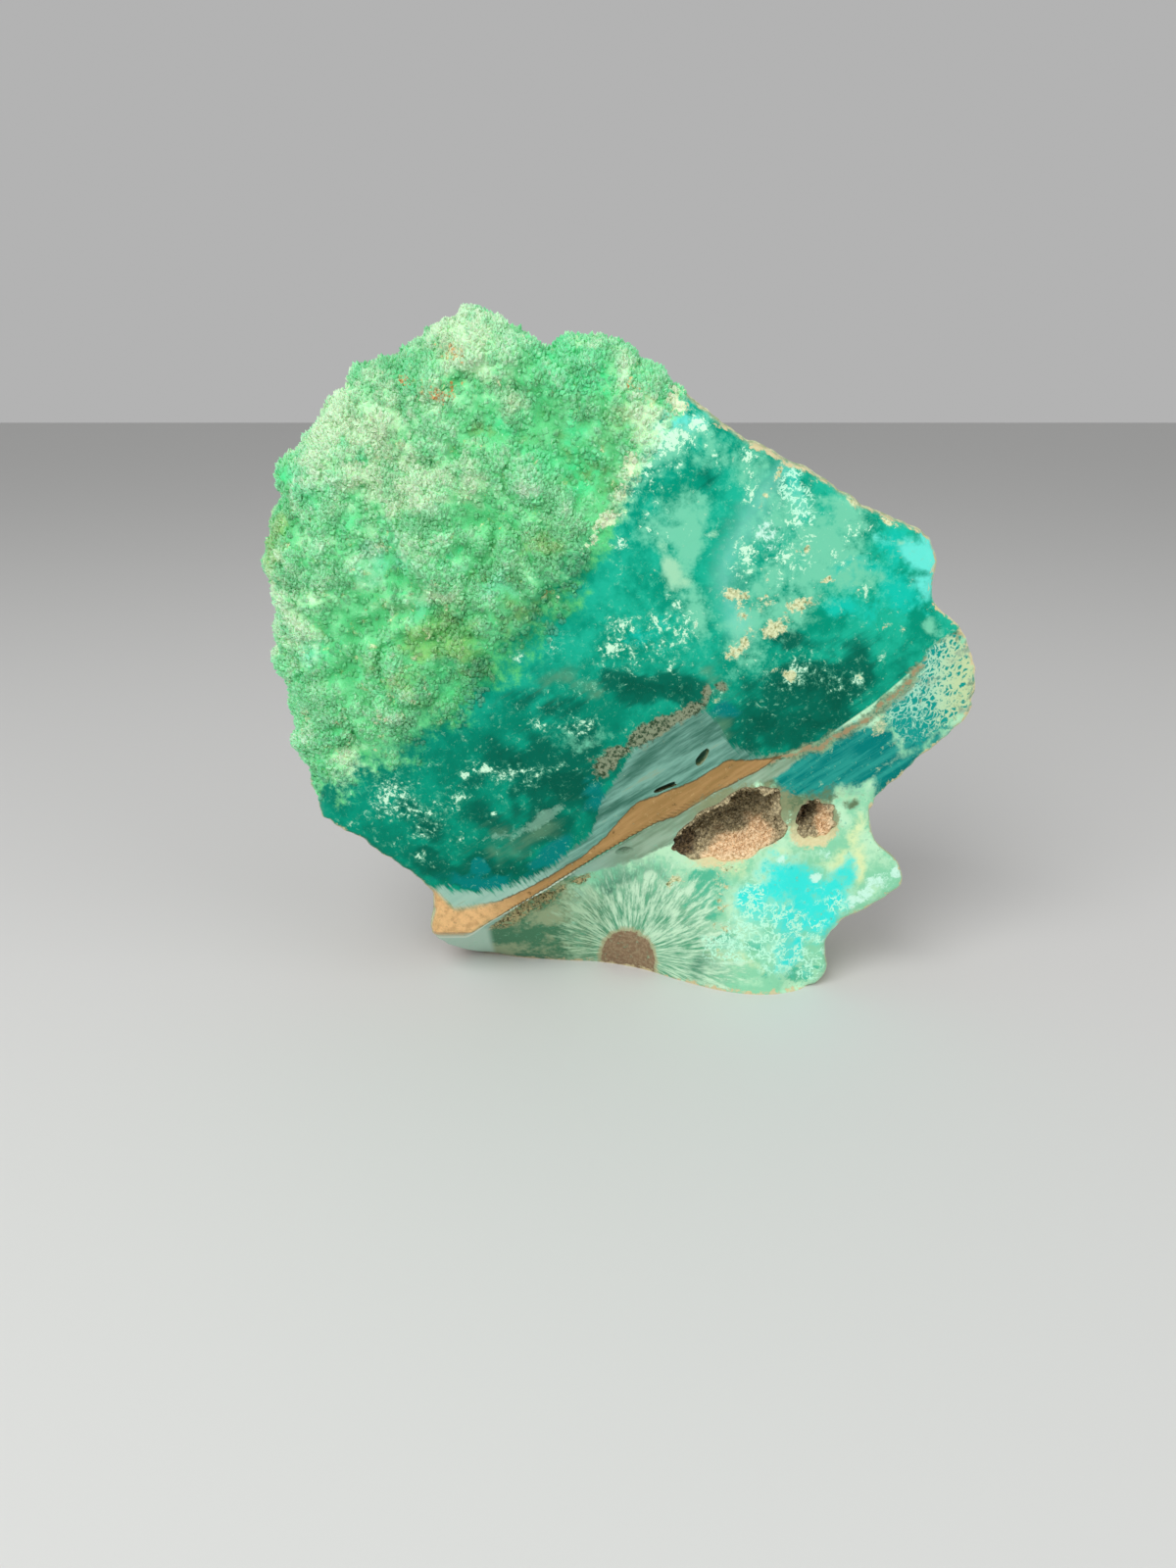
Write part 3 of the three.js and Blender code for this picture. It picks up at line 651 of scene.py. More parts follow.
SPRAY_CENTRE = (3.5, 5)
SPRAY_REACH = [  # direction from the centre in degrees, and the length of the fibres that way
    (-180, 18), (-90, 22), (0, 30), (30, 30), (60, 32), (90, 34), (120, 30), (150, 22), (180, 18),
]
CORE_CENTRE = (2.8, 3.5)
CORE_HALF = (8, 11)
SKIN_DEPTH = 15  # how far behind the rim the green skin goes on
SKIN_DEPTH_BLEND = 7
VEIN_END = 43
BAND_ENDS = (40, 56)  # over these x the pale band dies out
MOUTHS = [(29.5, 50.5, 17, 9.5, 24), (52.5, 51, 6.6, 6.6, 0)]  # the hollows, as the spots are
MOUTH_RIM = 0.28  # width of the stain round a hollow, as a part of the hollow's half size
FLOW = 4  # how far currents of this size push the spots about
FLOW_SIZE = 12
FLOW_SHARES = {
    "white": 0.3, "oval": 0.4, "pocket": 0.3, "fleck": 0.4, "crust": 0.3, "rust": 0.5,
    "specks": 0.3, "feather": 0.4,
}
RAGGED = 0.35  # how far lumps of this size make the spots' edges ragged
RAGGED_SIZE = 6
SEAM_RAGGED = 0.8  # how far the edges of the seam's bands wander
LINE_RAGGED = 0.7  # how far the pink line wanders
LINE_FLOW = 0.5  # how much of the flow the blue band follows
BAND_SINK = 4  # how far outside of itself the pale band has sunk where it has died out
SKIN_END_LUMPS = (4, 9)  # height and size of the lumps at the end of the skin behind the rim
UNSEEN = -9  # a value that is well outside of a band


def oval(x, z, middle_x, middle_z, half_length, half_width, degrees):
    """Places along and across a turned oval, each as a part of its half size."""
    c, s = math.cos(math.radians(degrees)), math.sin(math.radians(degrees))
    return (((x - middle_x) * c + (z - middle_z) * s) / half_length,
            ((z - middle_z) * c - (x - middle_x) * s) / half_width)


def spots(x, z, rows):
    """The strongest of soft ovals: strength times exp(-(along^2 + across^2))."""
    most = np.zeros(len(x))
    for *place, strength in rows:
        along, across = oval(x, z, *place)
        most = np.maximum(most, strength * np.exp(-(along**2) - across**2))
    return most


def clouds(points, size, octaves=3):
    """Lumps of that size and finer ones at half the size and half the height, and so on."""
    return sum(lumps(points + 37 * n, size / 2**n) / 2**n for n in range(octaves))


def height_of(line, x):
    """z of a line at x."""
    return np.interp(x, *np.array(line, float).T)


def line_distance(x, z, line):
    """Distance to the nearest segment of a line of points."""
    nearest = np.full(len(x), 1e9)
    for (ax, az), (bx, bz) in zip(line[:-1], line[1:]):
        dx, dz = bx - ax, bz - az
        t = np.clip(((x - ax) * dx + (z - az) * dz) / (dx * dx + dz * dz), 0, 1)
        nearest = np.minimum(nearest, np.hypot(x - ax - t * dx, z - az - t * dz))
    return nearest


def skin_at(points):
    """Height over the natural skin's edge, and less than 0 where the skin has ended on a side."""
    x, _, z = points.T
    behind = behind_rim(points)
    above = z - height_of(NATURAL_EDGE, x)
    skin = smooth(SKIN_DEPTH + SKIN_DEPTH_BLEND, SKIN_DEPTH - SKIN_DEPTH_BLEND,
                  behind + SKIN_END_LUMPS[0] * lumps(points, SKIN_END_LUMPS[1]))
    return np.where(behind > 1, above * skin + UNSEEN * (1 - skin), above)


def line_values(x, z, flow, ragged):
    """How far inside of each band of the seam a place is, and its distance to each line."""
    bend = z + SEAM_RAGGED * ragged[1]
    seam, vein_top, vein_foot = (height_of(line, x) for line in (SEAM, VEIN_TOP, VEIN_FOOT))
    vein = np.minimum(vein_top - z, z - vein_foot)
    strip = np.minimum(height_of(STRIP_TOP, x) - bend, z - vein_top + 1)
    band = np.minimum(seam - z, bend - height_of(BAND_FOOT, x))
    return {
        "vein": np.where(x < VEIN_END, vein, UNSEEN),
        "strip": np.where(x < VEIN_END, strip, UNSEEN),
        "band": band - BAND_SINK * smooth(*BAND_ENDS, x),
        "below": seam - z,
        "under_vein": vein_foot - z,
        "pink_line": line_distance(x + LINE_RAGGED * ragged[2], z + LINE_RAGGED * ragged[3], PINK_LINE),
        "blue_band": line_distance(x + LINE_FLOW * flow[0], z + LINE_FLOW * flow[1], BLUE_BAND),
    }


def zones_at(points, normals):
    """The value of every zone at each point, by name."""
    x, y, z = points.T
    flow = [FLOW * clouds(points + shift, FLOW_SIZE) for shift in (0, 50)]
    ragged = [clouds(points + shift, RAGGED_SIZE) for shift in (100, 150, 200, 250)]
    values = line_values(x, z, flow, ragged)
    for n, (name, rows) in enumerate(SPOTS.items()):
        share = FLOW_SHARES.get(name, 1)
        value = spots(x + share * flow[0], z + share * flow[1], rows)
        values[name] = value + RAGGED * ragged[n % 4] * smooth(0.02, 0.3, value)
    turn, away = from_centre(x, z)
    values["inside"] = np.interp(turn, RIM_TURN, RIM_AWAY) - away
    values["rind"] = smooth(-0.5, -0.15, normals[:, 1]) * smooth(0.3, 1.5, y - front_depth(x, z))
    values["natural"] = skin_at(points) + 5 * ragged[0]
    values["height"] = skin_height(points) / 2
    values["tide"] = clouds(points, 26, 2)
    values["mottle"] = clouds(points + 300, 8, 3)
    mouths = [np.hypot(*oval(x, z, *mouth)) for mouth in MOUTHS]
    values["mouth"] = 1 - (np.minimum(*mouths) - 1) / MOUTH_RIM
    spray_x, spray_z = x - SPRAY_CENTRE[0], z - SPRAY_CENTRE[1]
    reach = np.interp(np.degrees(np.arctan2(spray_z, spray_x)), *np.array(SPRAY_REACH, float).T)
    values["spray"] = 1 - np.hypot(spray_x, spray_z) / reach
    values["core"] = 1 - np.hypot(*oval(x, z, *CORE_CENTRE, *CORE_HALF, 0))
    return values


def mesh_arrays(target):
    """Points in millimetres and triangles of a mesh object."""
    mesh = target.data
    points = np.empty(len(mesh.vertices) * 3)
    mesh.vertices.foreach_get("co", points)
    mesh.calc_loop_triangles()
    triangles = np.empty(len(mesh.loop_triangles) * 3, int)
    mesh.loop_triangles.foreach_get("vertices", triangles)
    return points.reshape(-1, 3) / MM, triangles.reshape(-1, 3)


def write_numbers(target, values):
    """Gives the mesh one number per vertex under each name."""
    for name, value in values.items():
        attribute = target.data.attributes.new(name, "FLOAT", "POINT")
        attribute.data.foreach_set("value", value.astype(np.float32))


skin_points, skin_triangles = mesh_arrays(stone)
write_numbers(stone, zones_at(skin_points, vertex_normals(skin_points, skin_triangles)))


# ---- The stone: its material -------------------------------------------------------------------
# Polished zinc carbonate is glassy and lets light in a little way. The natural skin is sugary
# with small crystals. The rind of iron ore behind it is dull and earthy.

# Colours from 0 to 255. A group holds the colours that mix in one part.
TEAL = ((0, 140, 112), (26, 172, 142))
LOW_TEAL = ((0, 116, 92), (0, 140, 112))
DEEP_TEAL = (0, 98, 78)
DEEPEST_TEAL = (0, 82, 64)
BLUE_TEAL = (0, 118, 112)
BRIGHT_TEAL = (16, 186, 164)
MILKY = (108, 196, 162)
PALE_OVAL = (152, 208, 172)
CYAN = (98, 220, 204)
PALE_BLUE = (132, 216, 196)
GREY_CLOUD = (100, 144, 112)

MINT = ((134, 204, 164), (184, 228, 190))
YELLOW_GREEN = (224, 232, 172)
MID_GREEN = (84, 180, 144)
TURQUOISE = (56, 222, 212)
BLUE_EDGE = (BLUE_TEAL, (38, 146, 134))
GREY_GREEN = (96, 118, 86)
DULL_GREEN = ((72, 124, 92), (146, 164, 128))
POCKET = ((62, 60, 36), (178, 164, 118))
POCKET_GREEN = (118, 146, 108)
FOOT_END = (172, 202, 184)
PALE_BAND = ((116, 144, 118), (148, 174, 150))
PALE_BAND_LEFT = (152, 190, 174)

FIBRES = ((86, 158, 122), (196, 230, 198))
LEFT_FIBRES = ((78, 124, 92), (172, 206, 170))
DARK_FIBRES = ((56, 114, 92), (156, 200, 168))
CORE_HALO = (176, 160, 120)
CORE = ((132, 108, 84), (154, 134, 106))

STRIP = ((56, 104, 88), (120, 168, 152))
STRIP_LEFT = ((120, 164, 148), (168, 200, 182))
STRIP_GREY = (136, 146, 118)
SPECKS = ((50, 66, 44), (130, 138, 112))
PINK_NET = ((62, 100, 78), (134, 152, 118))
PINK = (156, 134, 100)
# A painted highlight: the light on the seam's ledge just under the tan vein.
LEDGE_HIGHLIGHT = (204, 218, 200)
OCHRE = ((146, 116, 70), (172, 136, 88))
PEACH = ((188, 152, 104), (220, 178, 124))
OCHRE_SHADES = ((108, 86, 52), (112, 84, 50), (196, 164, 116))
# Painted shade: the dark of the step along the tan vein's edges.
VEIN_EDGE_SHADE = (92, 74, 46)

FLECK = (204, 242, 212)
LACE = ((128, 216, 190), (186, 240, 212))
FEATHER = (150, 196, 172)
WHITE = (200, 240, 222)
CREAM_NET = ((120, 164, 130), (204, 206, 164))
CELL = (20, 146, 134)
CELL_WALLS = ((158, 212, 186), (184, 206, 158))
CRUST = ((176, 180, 132), (216, 222, 178))
CRUST_HALO = (156, 204, 172)
OLIVE = (108, 112, 68)
STAIN_UNDER = ((104, 124, 92), (150, 150, 112))
STAIN_OVER = ((206, 186, 132), (236, 226, 182))

# The first two pairs are mixed by the skin's height: the first colour is painted shade for its hollows,
# the second a painted highlight for its crests.
SKIN_GREEN_SHADE_TO_HIGHLIGHT = ((88, 196, 124), (136, 232, 164))
SKIN_MOSS_SHADE_TO_HIGHLIGHT = ((92, 178, 98), (150, 210, 122))
SKIN_EDGE = ((8, 140, 96), (88, 196, 124))
SKIN_CLEAR = (82, 222, 146)
SKIN_BLUE = (132, 240, 196)
SKIN_PALE = (224, 255, 212)
SKIN_WHITE = (212, 255, 216)
SKIN_BROWN = (150, 182, 112)
SKIN_BLOTS = ((176, 196, 120), (238, 248, 202))
SKIN_CRUST = (226, 248, 206)
SKIN_TIPS = (206, 248, 208)
RUST = (226, 160, 96)

RIND = ((146, 116, 82), (206, 192, 150))
RIND_RUST = ((112, 78, 46), (164, 118, 70))
RIND_GREEN = ((84, 164, 124), (170, 216, 176))
RIND_HOLES = (92, 66, 42)
RIND_EDGE = ((150, 176, 128), (216, 222, 182))
FACE_EDGE = ((206, 214, 176), (196, 162, 112))

# Where one look passes into another across the stone: from and to, by x, y or z.
LOW_TEAL_Z = (112, 66)
FOOT_LEFT_X = (-9, -16)
FOOT_END_X = (-36, -38.5)
BAND_LEFT_X = (6, -14)
SPRAY_LEFT_X = (2, -12)
STRIP_LEFT_X = (-8, -28)
LEDGE_HIGHLIGHT_X = (-8, -16)
PEACH_X = (-22, -42)
VEIN_SHADE_X = (-42, -30)
VEIN_SOFT_X = (-30, -44)
CELL_WALLS_X = (76, 90)
CELLS_OPEN_X = (80, 93)
CELLS_CLOSE_Z = (88, 76)
STAIN_X = (16, 24)
STAIN_UNDER_Z = (53, 46)
SKIN_EDGE_X = (-72, -46)
SKIN_EDGE_Z = (142, 122)
RIND_EDGE_Y = (-4, -15)

SPRAY_FIBRES = 18  # how many fibres wide the spray is, over one radian
SPRAY_BREAKS = 0.15  # how often a fibre changes along its length, per millimetre
CELL_SIZE = 1.3  # of the dark-celled net, before it is drawn out and broken up
GRIT_DEPTH = 0.0006  # metres, as Blender takes it
ROUGHNESS = (0.24, 0.5)  # of the polished face and of the rest
SHINE = 0.06
LIGHT_WITHIN = (0.12, 0.4)  # how much light goes into the cut stone and into the natural skin
LIGHT_REACH = 0.0015  # metres, as Blender takes it
LIGHT_REACH_SHARES = (0.4, 1, 0.8)  # of red, green and blue light
TIP_SHARE = 0.15  # how much paler a crystal's tip is


def linear(colour):
    """A colour of 0 to 255 as the linear light that a shader works in."""
    parts = [value / 255 for value in colour]
    return tuple(v / 12.92 if v < 0.04045 else ((v + 0.055) / 1.055) ** 2.4 for v in parts) + (1,)


class Shader:
    """A new material and short calls that each add one node and give back its result. An input
    is a number, a colour or another node's result."""

    def __init__(self, name):
        self.material = bpy.data.materials.new(name)
        self.material.use_nodes = True
        self.tree = self.material.node_tree
        self.tree.nodes.clear()
        self.place = self.vector("SCALE", self.node("TexCoord", {}, "Object"), 1 / MM)

    def node(self, kind, inputs, output=0, **settings):
        made = self.tree.nodes.new("ShaderNode" + kind)
        for key, value in settings.items():
            setattr(made, key, value)
        for key, value in inputs.items():
            if isinstance(value, bpy.types.NodeSocket):
                self.tree.links.new(value, made.inputs[key])
            else:
                made.inputs[key].default_value = value
        return made.outputs[output]

    def finish(self, shader):
        """Joins the shader to the material's surface and gives back the material."""
        surface = self.tree.nodes.new("ShaderNodeOutputMaterial").inputs["Surface"]
        self.tree.links.new(shader, surface)
        return self.material

    def attribute(self, name):
        return self.node("Attribute", {}, "Fac", attribute_name=name)

    def calc(self, operation, a, b=0.0):
        return self.node("Math", {0: a, 1: b}, operation=operation)

    def vector(self, operation, place, other=None, output=0):
        """Vector maths on a place alone, with another one, or with a number to scale it by."""
        inputs = {} if other is None else {"Scale" if operation == "SCALE" else 1: other}
        return self.node("VectorMath", {0: place, **inputs}, output, operation=operation)

    def swung(self, value, noise, amount):
        """A value, or the zone of that name, swung either side of itself by a noise of 0 to 1."""
        value = self.attribute(value) if isinstance(value, str) else value
        swing = self.node("Math", {0: noise, 1: amount, 2: -amount / 2}, operation="MULTIPLY_ADD")
        return self.calc("ADD", value, swing)

    def step(self, value, low, high, most=1.0):
        """0 at low, most at high, with a smooth ramp between."""
        return self.node("MapRange", {"Value": value, "From Min": low, "From Max": high, "To Max": most},
                         interpolation_type="SMOOTHSTEP")

    def between(self, share, pair):
        """The pair's first number at a share of 0, and its second at 1."""
        return self.node("MapRange", {"Value": share, "To Min": pair[0], "To Max": pair[1]})

    def zone(self, name, noise, amount, low, high, most=1.0):
        """Up to most, where a zone's number, swung by a noise, passes from low to high."""
        return self.step(self.swung(name, noise, amount), low, high, most)

    def mix(self, share, a, b):
        a, b = (linear(c) if isinstance(c, tuple) else c for c in (a, b))
        return self.node("Mix", {0: share, 6: a, 7: b}, 2, data_type="RGBA")

    def two_tone(self, value, low, high, pair):
        """The pair's first colour where the value is low, and its second where it is high."""
        return self.mix(self.step(value, low, high), *pair)

    def patches(self, colour, rows):
        """Lays patches on a colour, one over another. A row is the zone, the noise that breaks up
        its edge and how much, from where to where it fades in, its strength and its colour."""
        for name, noise, amount, low, high, most, patch in rows:
            colour = self.mix(self.zone(name, noise, amount, low, high, most), colour, patch)
        return colour

    def noise(self, size, detail=3, rough=0.5, place=None, output="Fac"):
        return self.node("TexNoise", {"Vector": place or self.place, "Scale": 1 / size,
                                      "Detail": detail, "Roughness": rough}, output)

    def turned(self, degrees, stretch, place=None):
        """Places turned about Y so that a pattern is drawn out along that slope of the front."""
        turn = (0, math.radians(degrees), 0)
        return self.vector("MULTIPLY", self.node("Mapping", {"Vector": place or self.place,
                                                             "Rotation": turn}), stretch)

    def middle_line(self, noise):
        """Distance of a noise of 0 to 1 from its middle value, which draws a net of lines."""
        return self.calc("ABSOLUTE", self.calc("SUBTRACT", noise, 0.5))


class StoneShader(Shader):
    """The stone's shader, with the noises that its faces share."""

    def __init__(self, name):
        super().__init__(name)
        self.x, self.y, self.z = (self.node("SeparateXYZ", {0: self.place}, n) for n in range(3))
        self.fine = self.noise(2.4, 5, 0.68)
        self.grit = self.noise(0.9, 3, 0.7)
        self.drawn = self.noise(2.2, 4, 0.65, self.turned(34, (0.12, 0.5, 1)))
        self.fringe = self.noise(1, 2, 0.6, self.turned(-54, (0.28, 1, 1.5)))
        self.tide = self.attribute("tide")
        self.mottle = self.swung("mottle", self.fine, 2.6)
        push = self.vector("SCALE", self.noise(3, 3, 0.6, output="Color"), 3)
        self.pushed = self.vector("ADD", self.place, push)
        self.spatter = self.noise(1.6, 5, 0.72, self.pushed)


def teal_face(s):
    """The polished face over the seam: glassy teal with deep, milky and blue clouds."""
    low = s.step(s.z, *LOW_TEAL_Z, 0.9)
    teal, low_teal = (s.two_tone(s.mottle, -0.7, 0.8, pair) for pair in (TEAL, LOW_TEAL))
    return s.patches(s.mix(low, teal, low_teal), [
        ("deep", s.drawn, 0.8, 0.12, 0.6, 1, DEEP_TEAL),
        ("deep", s.fine, 1.2, 0.6, 1.1, 0.8, DEEPEST_TEAL),
        ("blue_teal", s.drawn, 0.9, 0.2, 0.7, 1, BLUE_TEAL),
        ("bright", s.fine, 1.2, 0.15, 0.75, 1, BRIGHT_TEAL),
        ("milky", s.fine, 1.6, 0.15, 0.85, 1, MILKY),
        ("cyan", s.fine, 1, 0.15, 0.8, 1, CYAN),
        ("blue_band", s.fine, 9, 6, -3, 0.6, PALE_BLUE),
        ("oval", s.fine, 1.2, 0.2, 0.9, 1, PALE_OVAL),
        ("cloud", s.drawn, 1.2, 0.1, 0.9, 0.6, GREY_CLOUD),
    ])


def foot_face(s):
    """The polished face under the seam: mint with a turquoise cloud, a spray of fibres round a
    brown core, a brown pocket under the vein and a pale band along it."""
    colour = s.patches(s.two_tone(s.mottle, -0.5, 0.7, MINT), [
        ("yellow", s.fine, 1.8, 0.1, 1.1, 0.85, YELLOW_GREEN),
        ("mid_green", s.fine, 1.8, 0.2, 0.65, 1, MID_GREEN),
        ("turquoise", s.fine, 1.5, 0.05, 0.85, 1, TURQUOISE),
        ("blue_teal", s.fine, 1.2, 0.1, 0.6, 1, s.two_tone(s.drawn, 0.4, 0.62, BLUE_EDGE)),
        ("grey_green", s.fine, 1.4, 0.2, 0.7, 1, GREY_GREEN),
    ])
    left = s.step(s.swung(s.x, s.fine, 14), *FOOT_LEFT_X)
    colour = s.mix(left, colour, s.two_tone(s.mottle, -0.4, 0.5, DULL_GREEN))
    pocket = s.two_tone(s.grit, 0.36, 0.6, POCKET)
    pocket = s.mix(s.step(s.spatter, 0.5, 0.58, 0.7), pocket, POCKET_GREEN)
    colour = s.patches(spray(s, colour), [("pocket", s.spatter, 2.6, 0.3, 0.6, 1, pocket)])
    colour = s.mix(s.step(s.x, *FOOT_END_X), colour, FOOT_END)
    band = s.two_tone(s.drawn, 0.35, 0.65, PALE_BAND)
    band = s.mix(s.step(s.x, *BAND_LEFT_X, 0.8), band, PALE_BAND_LEFT)
    return s.patches(colour, [("band", s.fine, 3, -0.6, 0.8, 1, band)])


def spray(s, colour):
    """Fibres that spread from a centre: noise over the direction from it, so each one widens."""
    away = s.vector("SUBTRACT", s.place, (SPRAY_CENTRE[0], 0, SPRAY_CENTRE[1]))
    away = s.vector("MULTIPLY", away, (1, 0, 1))
    way = s.vector("SCALE", s.vector("NORMALIZE", away), SPRAY_FIBRES)
    along = s.calc("MULTIPLY", s.vector("LENGTH", away, output=1), SPRAY_BREAKS)
    fibre = s.noise(1, 4, 0.72, s.vector("ADD", way, s.node("CombineXYZ", {1: along})))
    left = s.step(s.swung(s.x, s.fine, 16), *SPRAY_LEFT_X)
    tint = s.mix(left, s.two_tone(fibre, 0.34, 0.64, FIBRES), s.two_tone(fibre, 0.36, 0.6, LEFT_FIBRES))
    dark = s.two_tone(fibre, 0.42, 0.64, DARK_FIBRES)
    tint = s.patches(tint, [("dark_fibres", fibre, 0.9, 0.2, 0.7, 1, dark)])
    colour = s.patches(colour, [("spray", fibre, 1.3, -0.15, 0.25, 1, tint)])
    edge = s.swung("core", s.fine, 0.4)
    colour = s.mix(s.step(edge, -0.16, -0.02, 0.7), colour, CORE_HALO)
    return s.mix(s.step(edge, 0, 0.05), colour, s.two_tone(s.grit, 0.38, 0.65, CORE))


def seam_marks(s, colour):
    """The bands along the seam: pale blue strip, speckled grey vein, pink line and tan vein, with
    painted shade along the tan vein's edges and a painted highlight on the ledge under it.
    """
    strip = s.mix(s.step(s.x, *STRIP_LEFT_X), s.two_tone(s.drawn, 0.3, 0.68, STRIP),
                  s.mix(s.drawn, *STRIP_LEFT))
    strip = s.mix(s.step(s.drawn, 0.6, 0.7, 0.6), strip, STRIP_GREY)
    colour = s.patches(colour, [
        ("strip", s.fringe, 6, -0.8, 1.6, 1, strip),
        ("specks", s.fine, 1.6, 0.3, 0.65, 0.95, s.two_tone(s.grit, 0.4, 0.56, SPECKS)),
        ("pink_line", s.fine, 4.5, 2, 0.9, 0.8, s.two_tone(s.grit, 0.35, 0.6, PINK_NET)),
        ("pink_line", s.fine, 4.5, 0.7, 0.1, 0.9, PINK),
    ])
    # A pale line just under the vein: a painted highlight where light falls on the ledge of the seam.
    white = s.calc("ABSOLUTE", s.calc("SUBTRACT", s.attribute("under_vein"), 0.7))
    white = s.calc("MULTIPLY", s.step(white, 0.7, 0.3), s.step(s.x, *LEDGE_HIGHLIGHT_X))
    colour = s.mix(white, colour, LEDGE_HIGHLIGHT)
    ochre = s.mix(s.step(s.x, *PEACH_X), s.two_tone(s.drawn, 0.36, 0.7, OCHRE),
                  s.two_tone(s.fine, 0.35, 0.6, PEACH))
    ochre = s.mix(s.step(s.fine, 0.62, 0.72), ochre, OCHRE_SHADES[0])
    ochre = s.mix(s.step(s.spatter, 0.6, 0.68, 0.6), ochre, OCHRE_SHADES[1])
    ochre = s.mix(s.step(s.spatter, 0.4, 0.32, 0.5), ochre, OCHRE_SHADES[2])
    # A dark line just outside the tan vein's edges: painted shade of the step there.
    vein = s.swung("vein", s.fine, 1.6)
    line = s.calc("MULTIPLY", s.step(vein, -0.5, -0.1, 0.9), s.step(s.x, *VEIN_SHADE_X))
    colour = s.mix(line, colour, VEIN_EDGE_SHADE)
    share = s.mix(s.step(s.x, *VEIN_SOFT_X), s.step(vein, -0.15, 0.4), s.step(vein, -0.9, 2.2))
    return s.mix(share, colour, ochre)


def flecks(s, colour):
    """White flecks, branched like frost, in their milky halos, and a white lace."""
    branch = s.middle_line(s.noise(2.1, 5, 0.66, s.pushed))
    branch = s.calc("SUBTRACT", s.spatter, s.calc("MULTIPLY", branch, 0.8))
    share = s.calc("ADD", s.calc("MULTIPLY", s.attribute("fleck"), 0.24), branch)
    colour = s.mix(s.step(share, 0.52, 0.72, 0.5), colour, MILKY)
    colour = s.mix(s.step(share, 0.645, 0.74, 0.9), colour, FLECK)
    net = s.middle_line(s.noise(3.2, 4, 0.6, s.pushed))
    net = s.calc("MULTIPLY", s.step(net, 0.055, 0), s.zone("lace", s.spatter, 1.2, 0.1, 0.5))
    colour = s.patches(colour, [("lace", s.spatter, 2, 0.5, 1, 0.4, LACE[0])])
    return s.patches(s.mix(net, colour, LACE[1]), [
        ("feather", s.spatter, 2.6, 0.35, 0.9, 0.38, FEATHER),
        ("white", s.spatter, 2.2, 0.35, 0.8, 0.9, WHITE),
    ])


def crusts(s, colour):
    """Cream crusts, the cream net by the pink line, the dark-celled net at the right and the
    stain round the hollows."""
    cell = s.node("TexVoronoi", {"Vector": s.turned(60, (0.6, 1, 1), s.pushed), "Scale": 1 / CELL_SIZE},
                  "Distance", feature="DISTANCE_TO_EDGE")
    cell = s.calc("ADD", s.swung(cell, s.spatter, 0.7), s.step(s.x, *CELLS_OPEN_X, -0.14))
    cell = s.calc("ADD", cell, s.step(s.z, *CELLS_CLOSE_Z, 0.12))
    cell = s.mix(s.step(cell, 0.03, 0.22), s.two_tone(s.x, *CELL_WALLS_X, CELL_WALLS), CELL)
    crust = s.two_tone(s.grit, 0.4, 0.6, CRUST)
    crust = s.mix(s.step(s.grit, 0.42, 0.34), crust, OLIVE)
    lower = s.step(s.swung(s.z, s.fine, 8), *STAIN_UNDER_Z)
    stain = s.mix(lower, s.mix(s.grit, *STAIN_UNDER), s.mix(s.grit, *STAIN_OVER))
    colour = s.patches(colour, [
        ("net", s.spatter, 2.4, 0.35, 0.6, 0.9, s.two_tone(s.grit, 0.35, 0.65, CREAM_NET)),
        ("leopard", s.spatter, 1.6, 0.25, 0.6, 1, cell),
        ("crust", s.spatter, 2.6, 0.38, 0.85, 0.6, CRUST_HALO),
        ("crust", s.spatter, 2.6, 0.62, 0.8, 0.95, crust),
    ])
    share = s.calc("MULTIPLY", s.zone("mouth", s.spatter, 3.4, 0.35, 1, 0.9), s.step(s.x, *STAIN_X))
    return s.mix(share, colour, stain)


